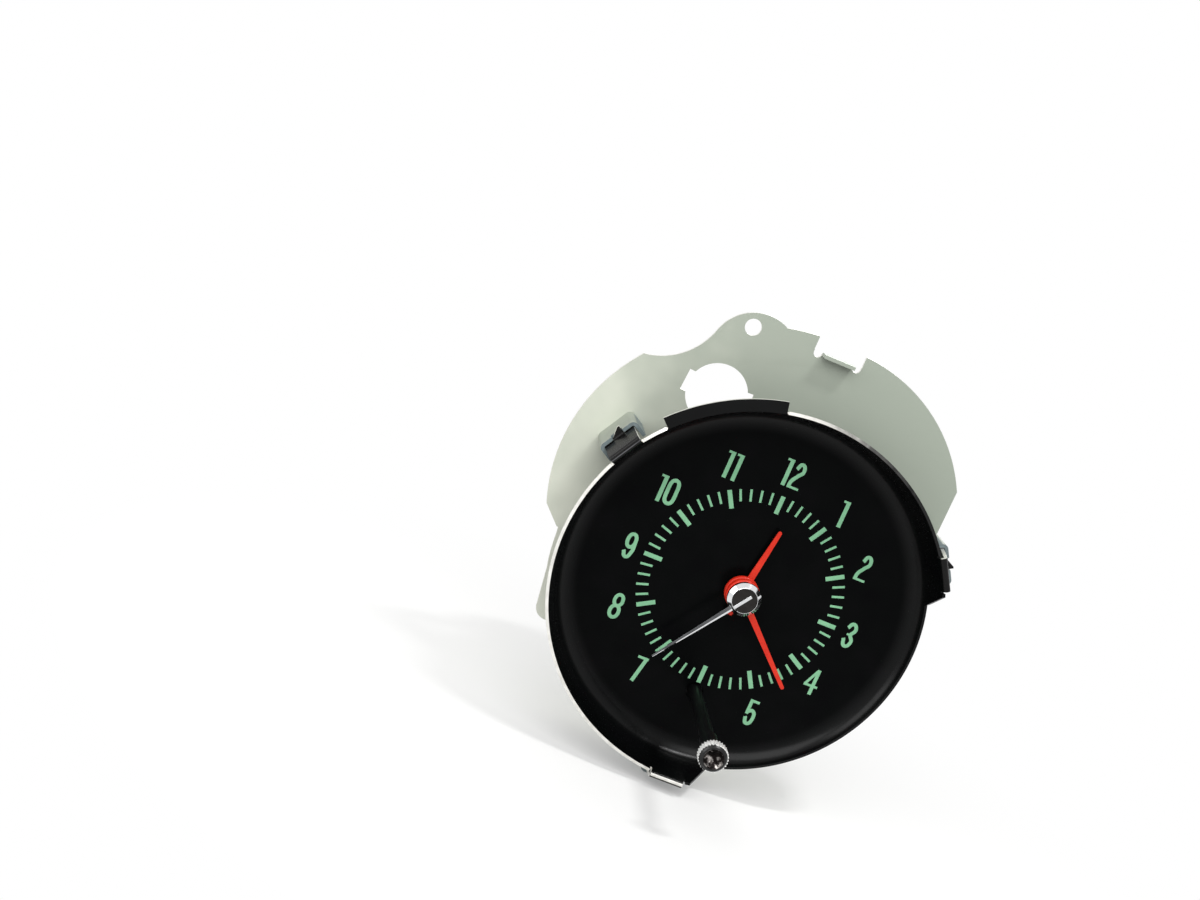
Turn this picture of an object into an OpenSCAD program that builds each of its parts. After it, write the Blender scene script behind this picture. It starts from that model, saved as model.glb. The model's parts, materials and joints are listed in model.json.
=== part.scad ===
// Dashboard clock with a dished black dial, a zinc mounting plate and a quartz movement.
// Millimetres. The hands turn about the Y axis, the dial faces -Y and 12 o'clock is +Z.
// The origin is on the hand axis, in the front face of the mounting plate.
// Every piece is drawn as seen from the front: x right, y up, z towards the viewer.

/* [Dial dish] */
// Height of the dial face in front of the mounting plate
dial_z = 8; // [7.5:0.1:10]
// Sheet thickness of the dish
dish_t = 0.8; // [0.6:0.05:1]
// Radius of the flat dial floor
floor_r = 42.3; // [41:0.1:43.5]
// Radius of the corner between floor and wall
corner_r = 5; // [3.5:0.1:6]
// Inner radius of the wall at its rim
rim_r = 49; // [48:0.1:51]
// Height of the rim above the dial face
rim_h = 11.5; // [9:0.1:14]
// Height of the wall that is left in the cut sector
low_h = 3; // [2:0.1:5]
// Clock angles of the two ends of the cut sector, at the dial face
cut_from = 73.9; // [68:0.1:78]
cut_to = 164.7; // [160:0.1:170]
// Slope of the cut's two ends
cut_slope = 31; // [0:1:40]
// Hole in the dial for the hour tube
dial_hole_r = 2.8; // [2.5:0.05:3.5]
// Gap round the setting stem in the dial
stem_gap = 0.5; // [0.3:0.05:0.8]
// Clock angles of the light shield's two ends
shield_from = -46.8; // [-50:0.1:-35]
shield_to = -12.5; // [-25:0.1:-5]
// Reach of the light shield beyond the rim
shield_w = 3.1; // [1.5:0.1:5]

/* [Lock tabs and lugs] */
// Clock angles of the three lock tabs
tab_angles = [-60, 59, 180];
// Width of a lock tab
tab_w = 8.8; // [6:0.1:9.5]
// Height of the tab's foot above the dial face
tab_low_h = 3.2; // [2.5:0.1:5]
// Height of the tab's fold above the rim
tab_fold_h = 0.5; // [0.3:0.05:0.8]
// Outer radius of that fold, in sheet thicknesses
fold_turn = 1.2; // [1.1:0.05:1.4]
// Length of wall that a tab's root covers, and how far it lies inside the wall
tab_root = 2; // [1.5:0.1:3]
root_out = 0.05; // [0.03:0.01:0.2]
// Inner radius of the sharp bends in the sheet
bend_r = 0.5; // [0.3:0.05:0.8]
// Width and depth of the slit beside a tab
slit_w = 0.5; // [0.2:0.05:0.8]
slit_d = 0.9; // [0.5:0.1:1.5]
// Radius that the tab's foot reaches
tab_foot_r = 51.8; // [51.4:0.1:53.2]
// Width of the bent tip
tip_w = 3; // [2:0.1:4]
// Length of the bent tip, and the width of its nose
tip_len = 2.1; // [1.5:0.1:4]
tip_nose = 0.5; // [0.3:0.05:0.8]
// Side clearance between tip and lug, and between tab and lug
lug_clear = 0.2; // [0.1:0.05:0.5]
// Reach of the lug's side returns
lug_return = 3.8; // [1.5:0.1:3.8]
// Height of the lug's prongs above the bent tip
prong_h = 0.7; // [0.3:0.1:1.5]

/* [Mounting plate] */
// Sheet thickness of the mounting plate
plate_t = 0.9; // [0.7:0.05:1.2]
// Radius of the large upper arc
arch_r = 55; // [53:0.1:57]
// Centre of the large upper arc
arch_c = [-2.5, 11.6];
// Right edge of the arc, a straight cut
arch_right = 43; // [40:0.5:48]
// Left side arc: distance and clock angle of its centre from the large arc's, and how much smaller it is
shoulder_off = 9.1; // [8:0.1:10]
shoulder_angle = -58; // [-65:0.5:-50]
shoulder_less = 9.1; // [8:0.1:10]
// Right side arc, in the same way
flank_off = 11.95; // [11:0.05:13]
flank_angle = 33.1; // [30:0.1:36]
flank_less = 10.5; // [10:0.1:12]
// Left corner of the arc, where the edge turns in at 45 degrees
arch_corner = [-53.8, 1.2];
// Radius of the lower disc
base_r = 48; // [47:0.1:49]
// Height of the lower disc's centre
base_y = -4; // [-6:0.1:-2]
// Height below which the lower disc steps in
step_y = -25.5; // [-30:0.1:-20]
// Width of the step
step_w = 3; // [1:0.1:4]
// Side wings of the lower disc: reach beyond it, taper, lower edge and corner radius
wing_out = 0.2; // [0.1:0.1:1]
wing_in = 2.8; // [2:0.1:4]
wing_low = -28.2; // [-30:0.1:-26]
wing_r = 3.5; // [2:0.1:4.5]
// Radius of the hollow beside the ear
hollow_r = 17.6; // [15:0.1:19]
// Distance of the hollow's centre outside the arc, and its clock angle there
hollow_out = 13.646; // [12:0.001:15]
hollow_angle = -41.515; // [-45:0.001:-38]
// Distance of the ear's centre inside the arc, and its clock angle there
ear_in = 8.26; // [7:0.01:9.5]
ear_angle = -22.12; // [-25:0.01:-20]
// Screw hole in the ear, and its place from the ear's centre
ear_hole_r = 2.15; // [1.8:0.05:2.5]
ear_hole_off = [-3, 7.2];
// Lamp hole with its bayonet notches
lamp_r = 7.95; // [7:0.05:8.5]
lamp_c = [-24.7, 43];
lamp_notch_w = 5.6; // [4:0.1:7]
lamp_notch_d = 1; // [0.6:0.1:1.5]
lamp_notches = [-86, 86];
// Width of the top notch and its depth below the arc
notch_w = 13.2; // [11:0.1:15]
notch_d = 3.6; // [2.6:0.1:4.6]
// Width of the tab that is bent forward in the notch
key_w = 8.4; // [6:0.1:8.6]
// Length of that tab
key_len = 3.6; // [2:0.1:6]
// Width of the relief slots beside the tab
relief_w = 2.3; // [1.5:0.1:2.3]
// Radius of the keyhole window round the motion work
window_r = 10; // [9:0.1:11]
// Half width of the window's leg round the setting work
window_leg = 5.2; // [4.8:0.1:5.6]
// Radius of the standoffs under the dial, of their rivets and of their circle
spacer_r = 2.5; // [2:0.1:3]
rivet_r = 1.2; // [1:0.05:1.4]
spacer_at = 38; // [37:0.1:39]

/* [Hands] */
// Clock angles at rest
hour_angle = 8.4; // [-180:0.1:180]
minute_angle = 133.9; // [-180:0.1:180]
second_angle = -144.9; // [-180:0.1:180]
// Lengths from the axis to the tip
hour_len = 18.6; // [14:0.1:22]
minute_len = 27.2; // [22:0.1:32]
second_len = 27.1; // [22:0.1:32]
// Blade widths at the hub and at the tip
hour_w = 2; // [1.4:0.1:2.6]
minute_w = 1.8; // [1.4:0.1:2.6]
tip_blade_w = 1; // [0.7:0.1:1.3]
// Blade thickness
blade_t = 0.5; // [0.3:0.05:0.8]
// Radius of the two lower hubs
hub_r = 4.4; // [4:0.1:5.5]
// Length of the hour hand's tail beyond its hub
tail_len = 2; // [1:0.1:4]
// Thickness of a hub
hub_t = 1.8; // [1.4:0.1:2.2]
// Radius of a hub's rounded edge
hub_edge = 0.5; // [0.3:0.05:0.6]
// Height of the raised ring on a hub, and its radius as a share of the hub's
hub_step = 0.3; // [0.1:0.05:0.4]
ring_share = 0.72; // [0.65:0.01:0.85]
// Gap between the dial and the hour hub, and between hubs
hand_gap = 0.9; // [0.5:0.1:1.2]
// Radius of the second hand's cap at its base and at its face
cap_r = 4.35; // [3.5:0.05:5]
cap_face_r = 3.5; // [2.8:0.05:4]
// Height of the cap, and of its upright skirt
cap_t = 2.4; // [1.8:0.1:3]
cap_skirt = 0.6; // [0.4:0.05:0.8]
// Width of the lip round the cap's face, and depth of the face below the lip
cap_lip = 0.6; // [0.4:0.05:0.8]
cap_sink = 0.3; // [0.2:0.05:0.4]
// Metal between the cap's face and the bore for its arbor
cap_web = 0.5; // [0.4:0.05:0.8]
// Width and height of the rib on the cap's face
rib_w = 0.8; // [0.5:0.05:1.2]
rib_t = 0.3; // [0.2:0.05:0.4]
// Widths of the second hand's pointer at its root and its tip, and its thickness
pointer_root = 1.5; // [1:0.1:2]
pointer_tip = 0.5; // [0.3:0.05:0.8]
pointer_t = 0.7; // [0.5:0.05:0.9]

/* [Setting stem] */
// Length of the stem in front of the dial, up to the knob's face
stem_out = 43.5; // [30:0.5:55]
// Radius of the stem
stem_r = 1.8; // [1.5:0.05:1.9]
// Radius and length of the collar behind the knob
collar_r = 2.2; // [2:0.05:2.4]
collar_len = 9; // [5:0.5:14]
// Radius over the knurl and length of the knob
knob_r = 3.7; // [3:0.05:4.5]
knob_len = 3.2; // [2.5:0.1:5]
// Number of knurl teeth and their depth
knurl_n = 30; // [20:1:36]
knurl_d = 0.35; // [0.2:0.05:0.5]
// Radius and depth of the knob's dished face
dish_face_r = 2.5; // [1.5:0.1:2.8]
dish_face_d = 1.1; // [0.6:0.1:1.4]
// Height and reach of the bevel round the knob's face
bevel_h = 0.5; // [0.3:0.05:0.8]
bevel_w = 0.4; // [0.2:0.05:0.6]
// Step down to the stem's tenon in the knob, and the metal between tenon and dished face
tenon_step = 0.4; // [0.3:0.05:0.6]
tenon_web = 0.5; // [0.4:0.05:0.8]
// Travel of the stem when it is pulled out to set the hands
pull = 1.5; // [1:0.1:1.8]
// Wire diameter and number of coils of the return spring
wire_d = 0.5; // [0.4:0.05:0.6]
coil_n = 5; // [4:1:6]
// Length of the return spring with its seat, and its distance from the stem
spring_len = 6.6; // [6:0.1:7]
spring_gap = 0.2; // [0.15:0.05:0.3]
// Thickness of the spring's cup, and its reach beyond the stem
cup_t = 0.6; // [0.4:0.05:0.8]
cup_out = 1.5; // [1.2:0.1:1.8]
// Thickness of the stem's clip, its reach beyond the stem, and the depth of its groove
clip_t = 0.4; // [0.3:0.05:0.5]
clip_out = 1; // [0.8:0.1:1.2]
clip_in = 0.5; // [0.4:0.05:0.6]
// Share of the groove's width that the clip leaves open
clip_open = 0.8; // [0.6:0.05:0.9]
// Gap between cup and clip, and length of the stem behind the clip
clip_gap = 0.1; // [0.05:0.01:0.15]
stem_tail = 0.6; // [0.4:0.1:1]
// Thickness of the friction disc, and its gap from the setting wheel when the stem is pulled
disc_t = 1; // [0.8:0.1:1.2]
disc_gap = 0.05; // [0.03:0.01:0.1]

/* [Setting bridge] */
// Half length, width and thickness of the strap
strap_half = 6.2; // [6:0.1:6.4]
strap_w = 6.4; // [5.5:0.1:7]
strap_t = 0.8; // [0.6:0.05:1]
// Distance of the feet's screws from the stem, and reach of the feet
foot_x = 9.2; // [9:0.1:9.6]
foot_end = 11.6; // [11.4:0.1:12]
// Wall of the bridge's tube
tube_wall = 0.45; // [0.4:0.01:0.5]
// Height of the tube's end in front of the mounting plate
tube_end = 3.4; // [3.3:0.05:3.5]

/* [Movement] */
// Thickness of the two brass plates
brass_t = 1.2; // [1:0.1:1.5]
// Radius of the front and rear brass plates
front_r = 35; // [34.5:0.1:36]
rear_r = 34; // [33.5:0.1:35]
// Room between the brass plates
train_gap = 10; // [10:0.1:12]
// Places of the four pillars
pillar_at = [[27, -14], [8, 30], [-24, 18.5], [-16, -27]];
// Radius of a pillar
pillar_r = 2; // [1.8:0.1:2.4]
// Shank radius and head size of the small screws
screw_r = 1; // [0.8:0.05:1.2]
screw_head_r = 1.9; // [1.6:0.1:2.2]
screw_head_t = 1.2; // [0.8:0.1:1.6]
// Width and depth of the slot in a screw's head
slot_w = 0.5; // [0.4:0.05:0.7]
slot_d = 0.5; // [0.3:0.05:0.7]
// Tapped depth in a pillar, thread left free at its end, and thread beyond the cover's plate
tap_depth = 4; // [3:0.1:4.5]
thread_free = 0.5; // [0.3:0.05:0.8]
thread_out = 1; // [0.6:0.1:1.5]
// Thickness of the circuit board and its height behind the rear plate
board_t = 1.6; // [1.2:0.1:2]
board_gap = 2.4; // [2:0.1:4]
// Radius of the circuit board
board_r = 33.5; // [33:0.1:34.5]
// Radius and wall of the rear cover
cover_r = 38; // [37:0.1:39]
cover_t = 0.7; // [0.5:0.05:1]
// Depth of the rear cover behind the mounting plate
cover_depth = 27.3; // [27:0.1:32]
// Width of the cover's flange, which stays clear of the lamp hole
flange_w = 2; // [1.2:0.1:3]
// Radius of the cover's screw circle, and of the ears round its screws
cover_screw_r = 41; // [40.6:0.1:42]
cover_ear_r = 3.2; // [2.8:0.1:3.6]
// Clock angles of the cover's screws
cover_angles = [30, 150, 270];
// Radius of the corner at the cover's back
cover_corner = 3; // [1.5:0.1:5]
// Width, thickness and length of the power blade outside the cover
blade_w = 6.3; // [4.8:0.1:6.3]
terminal_t = 0.8; // [0.5:0.1:1]
terminal_len = 9; // [7:0.1:12]
terminal_at = [12, -12];
// Radius of the hole in the blade, its distance from the end, and the cut at its corners
blade_hole_r = 0.9; // [0.7:0.05:1]
blade_hole_in = 4; // [3:0.1:5]
blade_cut = 1.6; // [1:0.1:2]
// Radius of the blade's bush, its shoulder, and its length outside and inside the cover
bush_r = 5; // [4.6:0.1:5.5]
bush_step = 1; // [0.6:0.05:1.2]
bush_out = 1.2; // [0.8:0.1:1.6]
bush_in = 1.4; // [1:0.1:1.8]
// Places of the crystal, the chip and the capacitor on the board
crystal_at = [-10, 12];
chip_at = [6, 14];
capacitor_at = [-12, -10];
// Radius and length of the crystal's can
crystal_r = 1.6; // [1.2:0.1:2]
crystal_len = 8; // [6:0.1:9]
// Length, width and height of the chip with its leads
chip_size = [10, 6.4, 3.2];
// Width, reach and height of a lead, and the pitch of the leads
lead_size = [0.5, 1, 1.8];
lead_pitch = 2.54; // [2:0.01:2.54]
// Height of the chip's body above the board
chip_up = 0.5; // [0.3:0.05:0.8]
// Radius and height of the capacitor
capacitor_r = 4; // [3:0.1:4.5]
capacitor_h = 8; // [6:0.1:8.5]
// Depth, width and distance from the board of the groove round the capacitor
groove_d = 0.3; // [0.2:0.05:0.4]
groove_w = 0.6; // [0.4:0.05:0.8]
groove_at = 1; // [0.8:0.1:1.5]

/* [Motor] */
// Thickness, width and length of the stator
stator_t = 1.2; // [1:0.1:1.4]
stator_w = 8; // [7.6:0.1:8.4]
stator_len = 24; // [22:0.1:24]
// Radius and length of the magnet, and its air gap
magnet_r = 3; // [2.6:0.1:3]
magnet_len = 4; // [3:0.1:4.2]
rotor_air = 0.4; // [0.3:0.05:0.5]
// Radius of the saturation notches, and their distance outside the stator's edge
neck_r = 0.9; // [0.7:0.05:1]
neck_out = 0.4; // [0.2:0.05:0.5]
// Distance of the coil from the rotor, and radius of its winding
coil_d = 8; // [7.8:0.1:8.2]
coil_r = 3.2; // [2.8:0.1:3.3]
// Width and thickness of the coil's core, and width of the stator's two legs
core_w = 3; // [2.6:0.1:3.2]
core_t = 1; // [0.8:0.05:1.2]
leg_w = 3; // [2.6:0.1:3.2]
// Distance of the bobbin from the legs, its wall, its ends and their lip
bobbin_gap = 0.8; // [0.6:0.05:1]
bobbin_wall = 0.4; // [0.3:0.05:0.5]
bobbin_end = 0.6; // [0.4:0.05:0.8]
bobbin_lip = 0.3; // [0.2:0.05:0.4]
// Clearance of the winding in its bobbin
winding_gap = 0.05; // [0.03:0.01:0.08]
// Radius of the posts that carry the stator, of their tenons, and the depth of their thread
post_r = 1.8; // [1.5:0.05:2]
post_tenon = 0.9; // [0.7:0.05:1]
post_tap = 1.8; // [1.5:0.1:2]

/* [Gear train] */
// Distance of the third and intermediate arbors from the hand axis
train_d = 14.4; // [14.2:0.1:15]
// Clock angles of these two arbors
third_angle = 60; // [50:1:70]
inter_angle = -100; // [-103:1:-95]
// Distance and clock angle of the rotor from the intermediate arbor
rotor_d = 9.8; // [9.4:0.1:10.4]
rotor_angle = -150; // [-155:1:-146]
// Distance of the minute wheel below the hand axis
motion_d = 10; // [9.8:0.1:10.5]
// Teeth of the train, from rotor to centre wheel
rotor_n = 8; // [8:1:8]
inter_n = 48; // [48:1:48]
inter_pinion_n = 8; // [8:1:8]
second_n = 40; // [40:1:40]
second_pinion_n = 8; // [8:1:8]
third_n = 60; // [60:1:60]
third_pinion_n = 8; // [8:1:8]
centre_n = 64; // [64:1:64]
// Teeth of the motion work and the setting work
cannon_n = 12; // [12:1:12]
minute_n = 36; // [36:1:36]
minute_pinion_n = 10; // [10:1:10]
hour_n = 40; // [40:1:40]
idler_n = 20; // [20:1:20]
set_n = 16; // [16:1:16]
// Thickness of a wheel
wheel_t = 0.8; // [0.6:0.05:1]
// Size and place of the openings in a wheel, as shares of its web
open_share = 0.27; // [0.2:0.01:0.3]
open_out = 0.54; // [0.5:0.01:0.56]
// Half length of a pinion's teeth, and the rotor pinion's share of it
pinion_half = 0.9; // [0.7:0.05:0.95]
rotor_share = 0.8; // [0.6:0.05:1]
// Depths of the centre, third and second wheels behind the front plate
centre_level = 1.3; // [1.2:0.05:1.4]
third_level = 3.9; // [3.8:0.05:4]
second_level = 6.7; // [6.6:0.05:6.8]
// Height of the intermediate wheel in front of the rear plate
inter_level = 1.1; // [1:0.05:1.2]
// Depth of the magnet's middle behind the front plate
magnet_level = 3.4; // [3.3:0.05:3.6]
// Height of the minute wheel in front of the mounting plate
motion_z = 3.9; // [3.85:0.05:3.95]
// Depth of the hour wheel's middle behind the dial
hour_level = 1.1; // [1:0.05:1.2]
// Radius of the second arbor, of the other arbors and of their pivots
arbor_r = 0.65; // [0.6:0.01:0.7]
staff_r = 0.6; // [0.55:0.01:0.65]
pivot_r = 0.35; // [0.3:0.01:0.4]
// Share of a brass plate's thickness that a pivot enters
pivot_share = 0.8; // [0.6:0.05:0.9]
// Walls of the minute tube and of the hour tube
cannon_wall = 0.7; // [0.6:0.01:0.75]
hour_wall = 0.75; // [0.65:0.01:0.8]
// Reach and thickness of the boss on the hour wheel
boss_out = 0.8; // [0.6:0.05:1]
boss_t = 0.4; // [0.3:0.05:0.5]
// Reach and thickness of the shoulder on the minute tube, and its length behind the wheel
shoulder_out = 1.2; // [1:0.05:1.4]
shoulder_t = 0.5; // [0.4:0.05:0.55]
cannon_tail = 0.6; // [0.5:0.05:0.7]
// Thickness, rim and arms of the clutch spring under the centre wheel
clutch_t = 0.3; // [0.2:0.05:0.3]
clutch_rim = 0.9; // [0.7:0.05:1.1]
clutch_arm_w = 1.2; // [0.8:0.1:1.5]
clutch_arm = 2.7; // [2:0.1:3]
// Radius of the motion work's studs, reach of their heads and of their feet
stud_r = 0.8; // [0.7:0.01:0.85]
stud_head = 0.7; // [0.5:0.05:0.9]
stud_foot = 0.9; // [0.7:0.05:1]
// Pressure angle of the teeth
pressure = 25; // [22:1:27]
// Addendum of wheels and of pinions, and the common dedendum, in modules
wheel_add = 0.65; // [0.55:0.05:0.7]
pinion_add = 0.8; // [0.7:0.05:0.85]
dedendum = 1; // [0.95:0.05:1.05]
// Backlash of a pair, in modules
backlash = 0.3; // [0.25:0.05:0.4]

/* [Fits] */
// Radial clearance of a turning fit
run_fit = 0.05; // [0.03:0.01:0.08]
// Radial clearance of a fixed fit
fix_fit = 0.02; // [0.01:0.01:0.04]
// End shake of arbors and setting work
shake = 0.2; // [0.1:0.01:0.25]
// Gap between a wheel and its stud's head or foot
float_gap = 0.1; // [0.05:0.01:0.15]

/* [Hidden] */
$fn = 64;

// Levels along the hand axis
dial_back = dial_z - dish_t;
front_z = -plate_t;
front_back = front_z - brass_t;
rear_z = front_back - train_gap;
rear_back = rear_z - brass_t;
board_z = rear_back - board_gap;
board_back = board_z - board_t;
cover_back = -plate_t - cover_depth;
hour_hub_z = dial_z + hand_gap;
minute_hub_z = hour_hub_z + hub_t + hand_gap;
cap_z = minute_hub_z + hub_t + hand_gap;

// Dish profile: the wall leaves the corner at the angle that brings it to the rim
wall_run = [rim_r - floor_r, rim_h - corner_r];
wall_a = acos(corner_r / norm(wall_run)) - atan2(wall_run[1], wall_run[0]);
rim_out = rim_r + dish_t / cos(wall_a);

// Lock tabs: the wall goes on past the rim, folds over it and runs down to its foot
function trim(a) = bend_r * tan(a / 2);
rise_a = 90 - wall_a;
fold_r = fold_turn * dish_t;
root_at = [rim_r + root_out, rim_h] - tab_root * [cos(rise_a), sin(rise_a)];
rise_len = (rim_h + tab_fold_h - fold_r * (1 - cos(rise_a)) - root_at[1]) / sin(rise_a);
fold_c = root_at + rise_len * [cos(rise_a), sin(rise_a)] + fold_r * [sin(rise_a), -cos(rise_a)];
foot_v = [tab_foot_r, tab_low_h] - fold_c;
tab_a = asin(fold_r / norm(foot_v)) - atan2(foot_v[1], foot_v[0]);
tab_len = sqrt(norm(foot_v) ^ 2 - fold_r ^ 2);

// Lugs and key of the mounting plate
lug_in = tab_foot_r + lug_clear;
lug_out = lug_in + plate_t;
lug_half = tab_w / 2 + lug_clear;
lug_top = dial_z + tab_low_h + prong_h;
lug_bend = bend_r + plate_t;
notch_y = arch_c[1] + arch_r - notch_d;
key_y = notch_y - plate_t - bend_r;
shoulder_c = arch_c + polar(shoulder_off, shoulder_angle);
flank_c = arch_c + polar(flank_off, flank_angle);
wing_x = base_r + wing_out - wing_in;
hollow_c = arch_c + polar(arch_r + hollow_out, hollow_angle);
ear_c = arch_c + polar(arch_r - ear_in, ear_angle);
ear_r = norm(ear_c - hollow_c) - hollow_r;

// Tubes on the hand axis
cannon_in = arbor_r + run_fit;
cannon_r = cannon_in + cannon_wall;
hour_in = cannon_r + run_fit;
hour_r = hour_in + hour_wall;
cap_bore = cap_t - cap_sink - cap_web;

// Levels of the train, at the middle of each wheel
centre_z = front_back - centre_level;
third_z = front_back - third_level;
second_z = front_back - second_level;
inter_z = rear_z + inter_level;
magnet_z = front_back - magnet_level;
stator_z = magnet_z;
pivot_len = pivot_share * brass_t + shake;

// Levels of the motion work, under the dial
hour_z = dial_back - hour_level;
strap_z = hour_z - strap_t / 2;
set_front = strap_z - shake;
set_rear = tube_end - shake;
disc_z = set_rear - pull - disc_gap;
bridge_tube_r = stem_r + run_fit + tube_wall;

// Places of the arbors, from the tooth counts
function polar(r, a) = [r * sin(a), r * cos(a)];
function module_of(d, na, nb) = 2 * d / (na + nb);
third_at = polar(train_d, third_angle);
inter_at = polar(train_d, inter_angle);
rotor_at = inter_at + polar(rotor_d, rotor_angle);
second_m = module_of(train_d, second_n, inter_pinion_n);
third_m = module_of(train_d, second_pinion_n, third_n);
centre_m = module_of(train_d, third_pinion_n, centre_n);
inter_m = module_of(rotor_d, rotor_n, inter_n);
motion_m = module_of(motion_d, cannon_n, minute_n);
hour_m = module_of(motion_d, minute_pinion_n, hour_n);
motion_at = [0, -motion_d];
idler_at = motion_at - [0, motion_m * (minute_n + idler_n) / 2];
stem_at = idler_at - [0, motion_m * (idler_n + set_n) / 2];

// Angle of a meshing gear's first tooth, from its neighbour's, along the line of centres
function ccw(a) = 90 - a;
function mesh(first, na, nb, line) = line + 180 - (180 + (first - line) * na) / nb;
third_first = mesh(0, second_pinion_n, third_n, ccw(third_angle));
centre_first = mesh(0, third_pinion_n, centre_n, ccw(third_angle) + 180);
inter_first = mesh(0, second_n, inter_pinion_n, ccw(inter_angle));
rotor_first = mesh(0, inter_n, rotor_n, ccw(rotor_angle));
minute_first = mesh(0, cannon_n, minute_n, -90);
hour_first = mesh(0, minute_pinion_n, hour_n, 90);
idler_first = mesh(minute_first, minute_n, idler_n, -90);
set_first = mesh(idler_first, idler_n, set_n, -90);

// Stem levels
stem_front = dial_z + stem_out;
knob_z = stem_front - knob_len;
tenon_r = stem_r - tenon_step;
tenon_len = knob_len - dish_face_d - tenon_web;
cup_z = front_back - spring_len - cup_t;
clip_z = cup_z - clip_gap - clip_t;
clip_groove_r = stem_r - clip_in;
spring_r = stem_r + run_fit + spring_gap + wire_d / 2;

// Stator and coil
stator_bottom = rotor_at[1] - stator_len / 2;
coil_x = rotor_at[0] - coil_d;
core_z = stator_z - stator_t / 2 - core_t;
post_at = [for (y = [leg_w / 2, stator_len - leg_w / 2]) [coil_x, stator_bottom + y]];
bobbin_from = stator_bottom + leg_w + bobbin_gap;
bobbin_len = stator_len - 2 * (leg_w + bobbin_gap);

// Overlap of pieces that are joined, and reach of a tool past what it cuts
lap = 0.01;
past = 1;

function arc(c, r, from, to, steps) =
    [for (i = [0 : steps]) let (a = from + (to - from) * i / steps) c + r * [cos(a), sin(a)]];

// Turns a drawing made as seen from the front into the part's own frame
module face_on() { rotate([90, 0, 0]) children(); }

// Places a drawing at a point of the face
module at(p, z = 0) { translate([p[0], p[1], z]) children(); }

// Turns a drawing so that its +y points along a clock angle
module clock(a) { rotate([0, 0, -a]) children(); }

// A disc or a ring between two heights
module ring(r, z0, z1, bore = 0) {
    translate([0, 0, z0]) difference() {
        cylinder(r = r, h = z1 - z0);
        if (bore > 0) translate([0, 0, -past]) cylinder(r = bore, h = z1 - z0 + 2 * past);
    }
}

// A section of radius and height, drawn out to a width
module strip(width) { rotate([90, 0, 90]) linear_extrude(width, center = true) children(); }

// Part of a flat ring between two angles that are less than half a turn apart
module sector(r_in, r_out, from, to) {
    intersection() {
        difference() {
            circle(r_out);
            circle(r_in);
        }
        rotate(from) translate([-r_out, 0]) square([2 * r_out, r_out]);
        rotate(to) translate([-r_out, -r_out]) square([2 * r_out, r_out]);
    }
}

// A bent sheet in section. It starts along +x with its drawn face up.
// Each step is a length, then a turn to the left with its radius on the drawn face.
module bent(steps, t, i = 0) {
    run = steps[i][0];
    turn = steps[i][1];
    r = steps[i][2];
    side = sign(turn);
    before = i > 0 ? lap : 0;
    after = i + 1 < len(steps) ? lap : 0;
    translate([-before, -t]) square([before + run + after, t]);
    if (i + 1 < len(steps)) translate([run, side * r]) {
        if (turn > 0) sector(r, r + t, -90, turn - 90);
        else sector(r - t, r, 90 + turn, 90);
        rotate(turn) translate([0, -side * r]) bent(steps, t, i + 1);
    }
}

// Teeth with involute flanks, thinned for backlash
function involute(a) = tan(a) * 180 / PI - a;
function half_tooth(rho, r, n, m) =
    let (base = r * cos(pressure))
    90 / n - backlash * m / (4 * r) * 180 / PI + involute(pressure)
        - involute(acos(min(1, base / max(rho, base))));
function tooth(n, m, add, steps, mid) =
    let (r = n * m / 2, top = r + add * m, root = r - dedendum * m)
    [for (s = [-1, 1], i = [0 : steps])
        let (k = s < 0 ? i : steps - i, rho = root + (top - root) * k / steps,
             a = mid + s * half_tooth(rho, r, n, m))
        rho * [cos(a), sin(a)]];
module teeth(n, m, first, add, steps) {
    polygon([for (k = [0 : n - 1]) each tooth(n, m, add, steps, first + 360 * k / n)]);
}

// A wheel with round openings, and a pinion, both centred on a level
module wheel(n, m, first, z, bore, spokes = 5, t = wheel_t) {
    root = n * m / 2 - dedendum * m;
    translate([0, 0, z - t / 2]) linear_extrude(t) difference() {
        teeth(n, m, first, wheel_add, 2);
        circle(bore);
        if (spokes > 0) for (k = [0 : spokes - 1]) rotate(360 * k / spokes)
            translate([(root + bore) * open_out, 0]) circle((root - bore) * open_share);
    }
}
module pinion(n, m, first, z0, z1) {
    translate([0, 0, z0]) linear_extrude(z1 - z0) teeth(n, m, first, pinion_add, 3);
}

// A small slotted screw: its head starts at a level and its shank goes back from there
module screw(z, len) {
    top = z + screw_head_t;
    difference() {
        cylinder_z(screw_head_r, z, top);
        translate([-screw_head_r - past, -slot_w / 2, top - slot_d])
            cube([2 * (screw_head_r + past), slot_w, slot_d + past]);
    }
    cylinder_z(screw_r, z - len, z);
}
module cylinder_z(r, z0, z1) { translate([0, 0, z0]) cylinder(r = r, h = z1 - z0); }

// Black pressed dish: dial floor, flaring wall, light shield and lock tabs
module dish_bowl() {
    rotate_extrude($fn = 128) intersection() {
        translate([dial_hole_r, 0])
            bent([[floor_r - dial_hole_r, 90 - wall_a, corner_r], [2 * rim_h, 0, 0]], dish_t);
        translate([0, -2 * dish_t]) square([2 * rim_r, rim_h + 2 * dish_t]);
    }
}
module wall_cut() {
    reach = rim_r + rim_h;
    intersection() {
        translate([-reach, -reach, low_h]) cube([2 * reach, 2 * reach, rim_h]);
        clock(cut_from) rotate([0, -cut_slope, 0]) translate([0, -reach, -reach]) cube(2 * reach);
        clock(cut_to) rotate([0, cut_slope, 0]) translate([-2 * reach, -reach, -reach]) cube(2 * reach);
    }
}
module tab_gap() {
    for (s = [0, 1]) mirror([s, 0, 0]) translate([tab_w / 2 - lap, 0, rim_h - slit_d])
        cube([slit_w + lap, 2 * rim_r, rim_h]);
}
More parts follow.
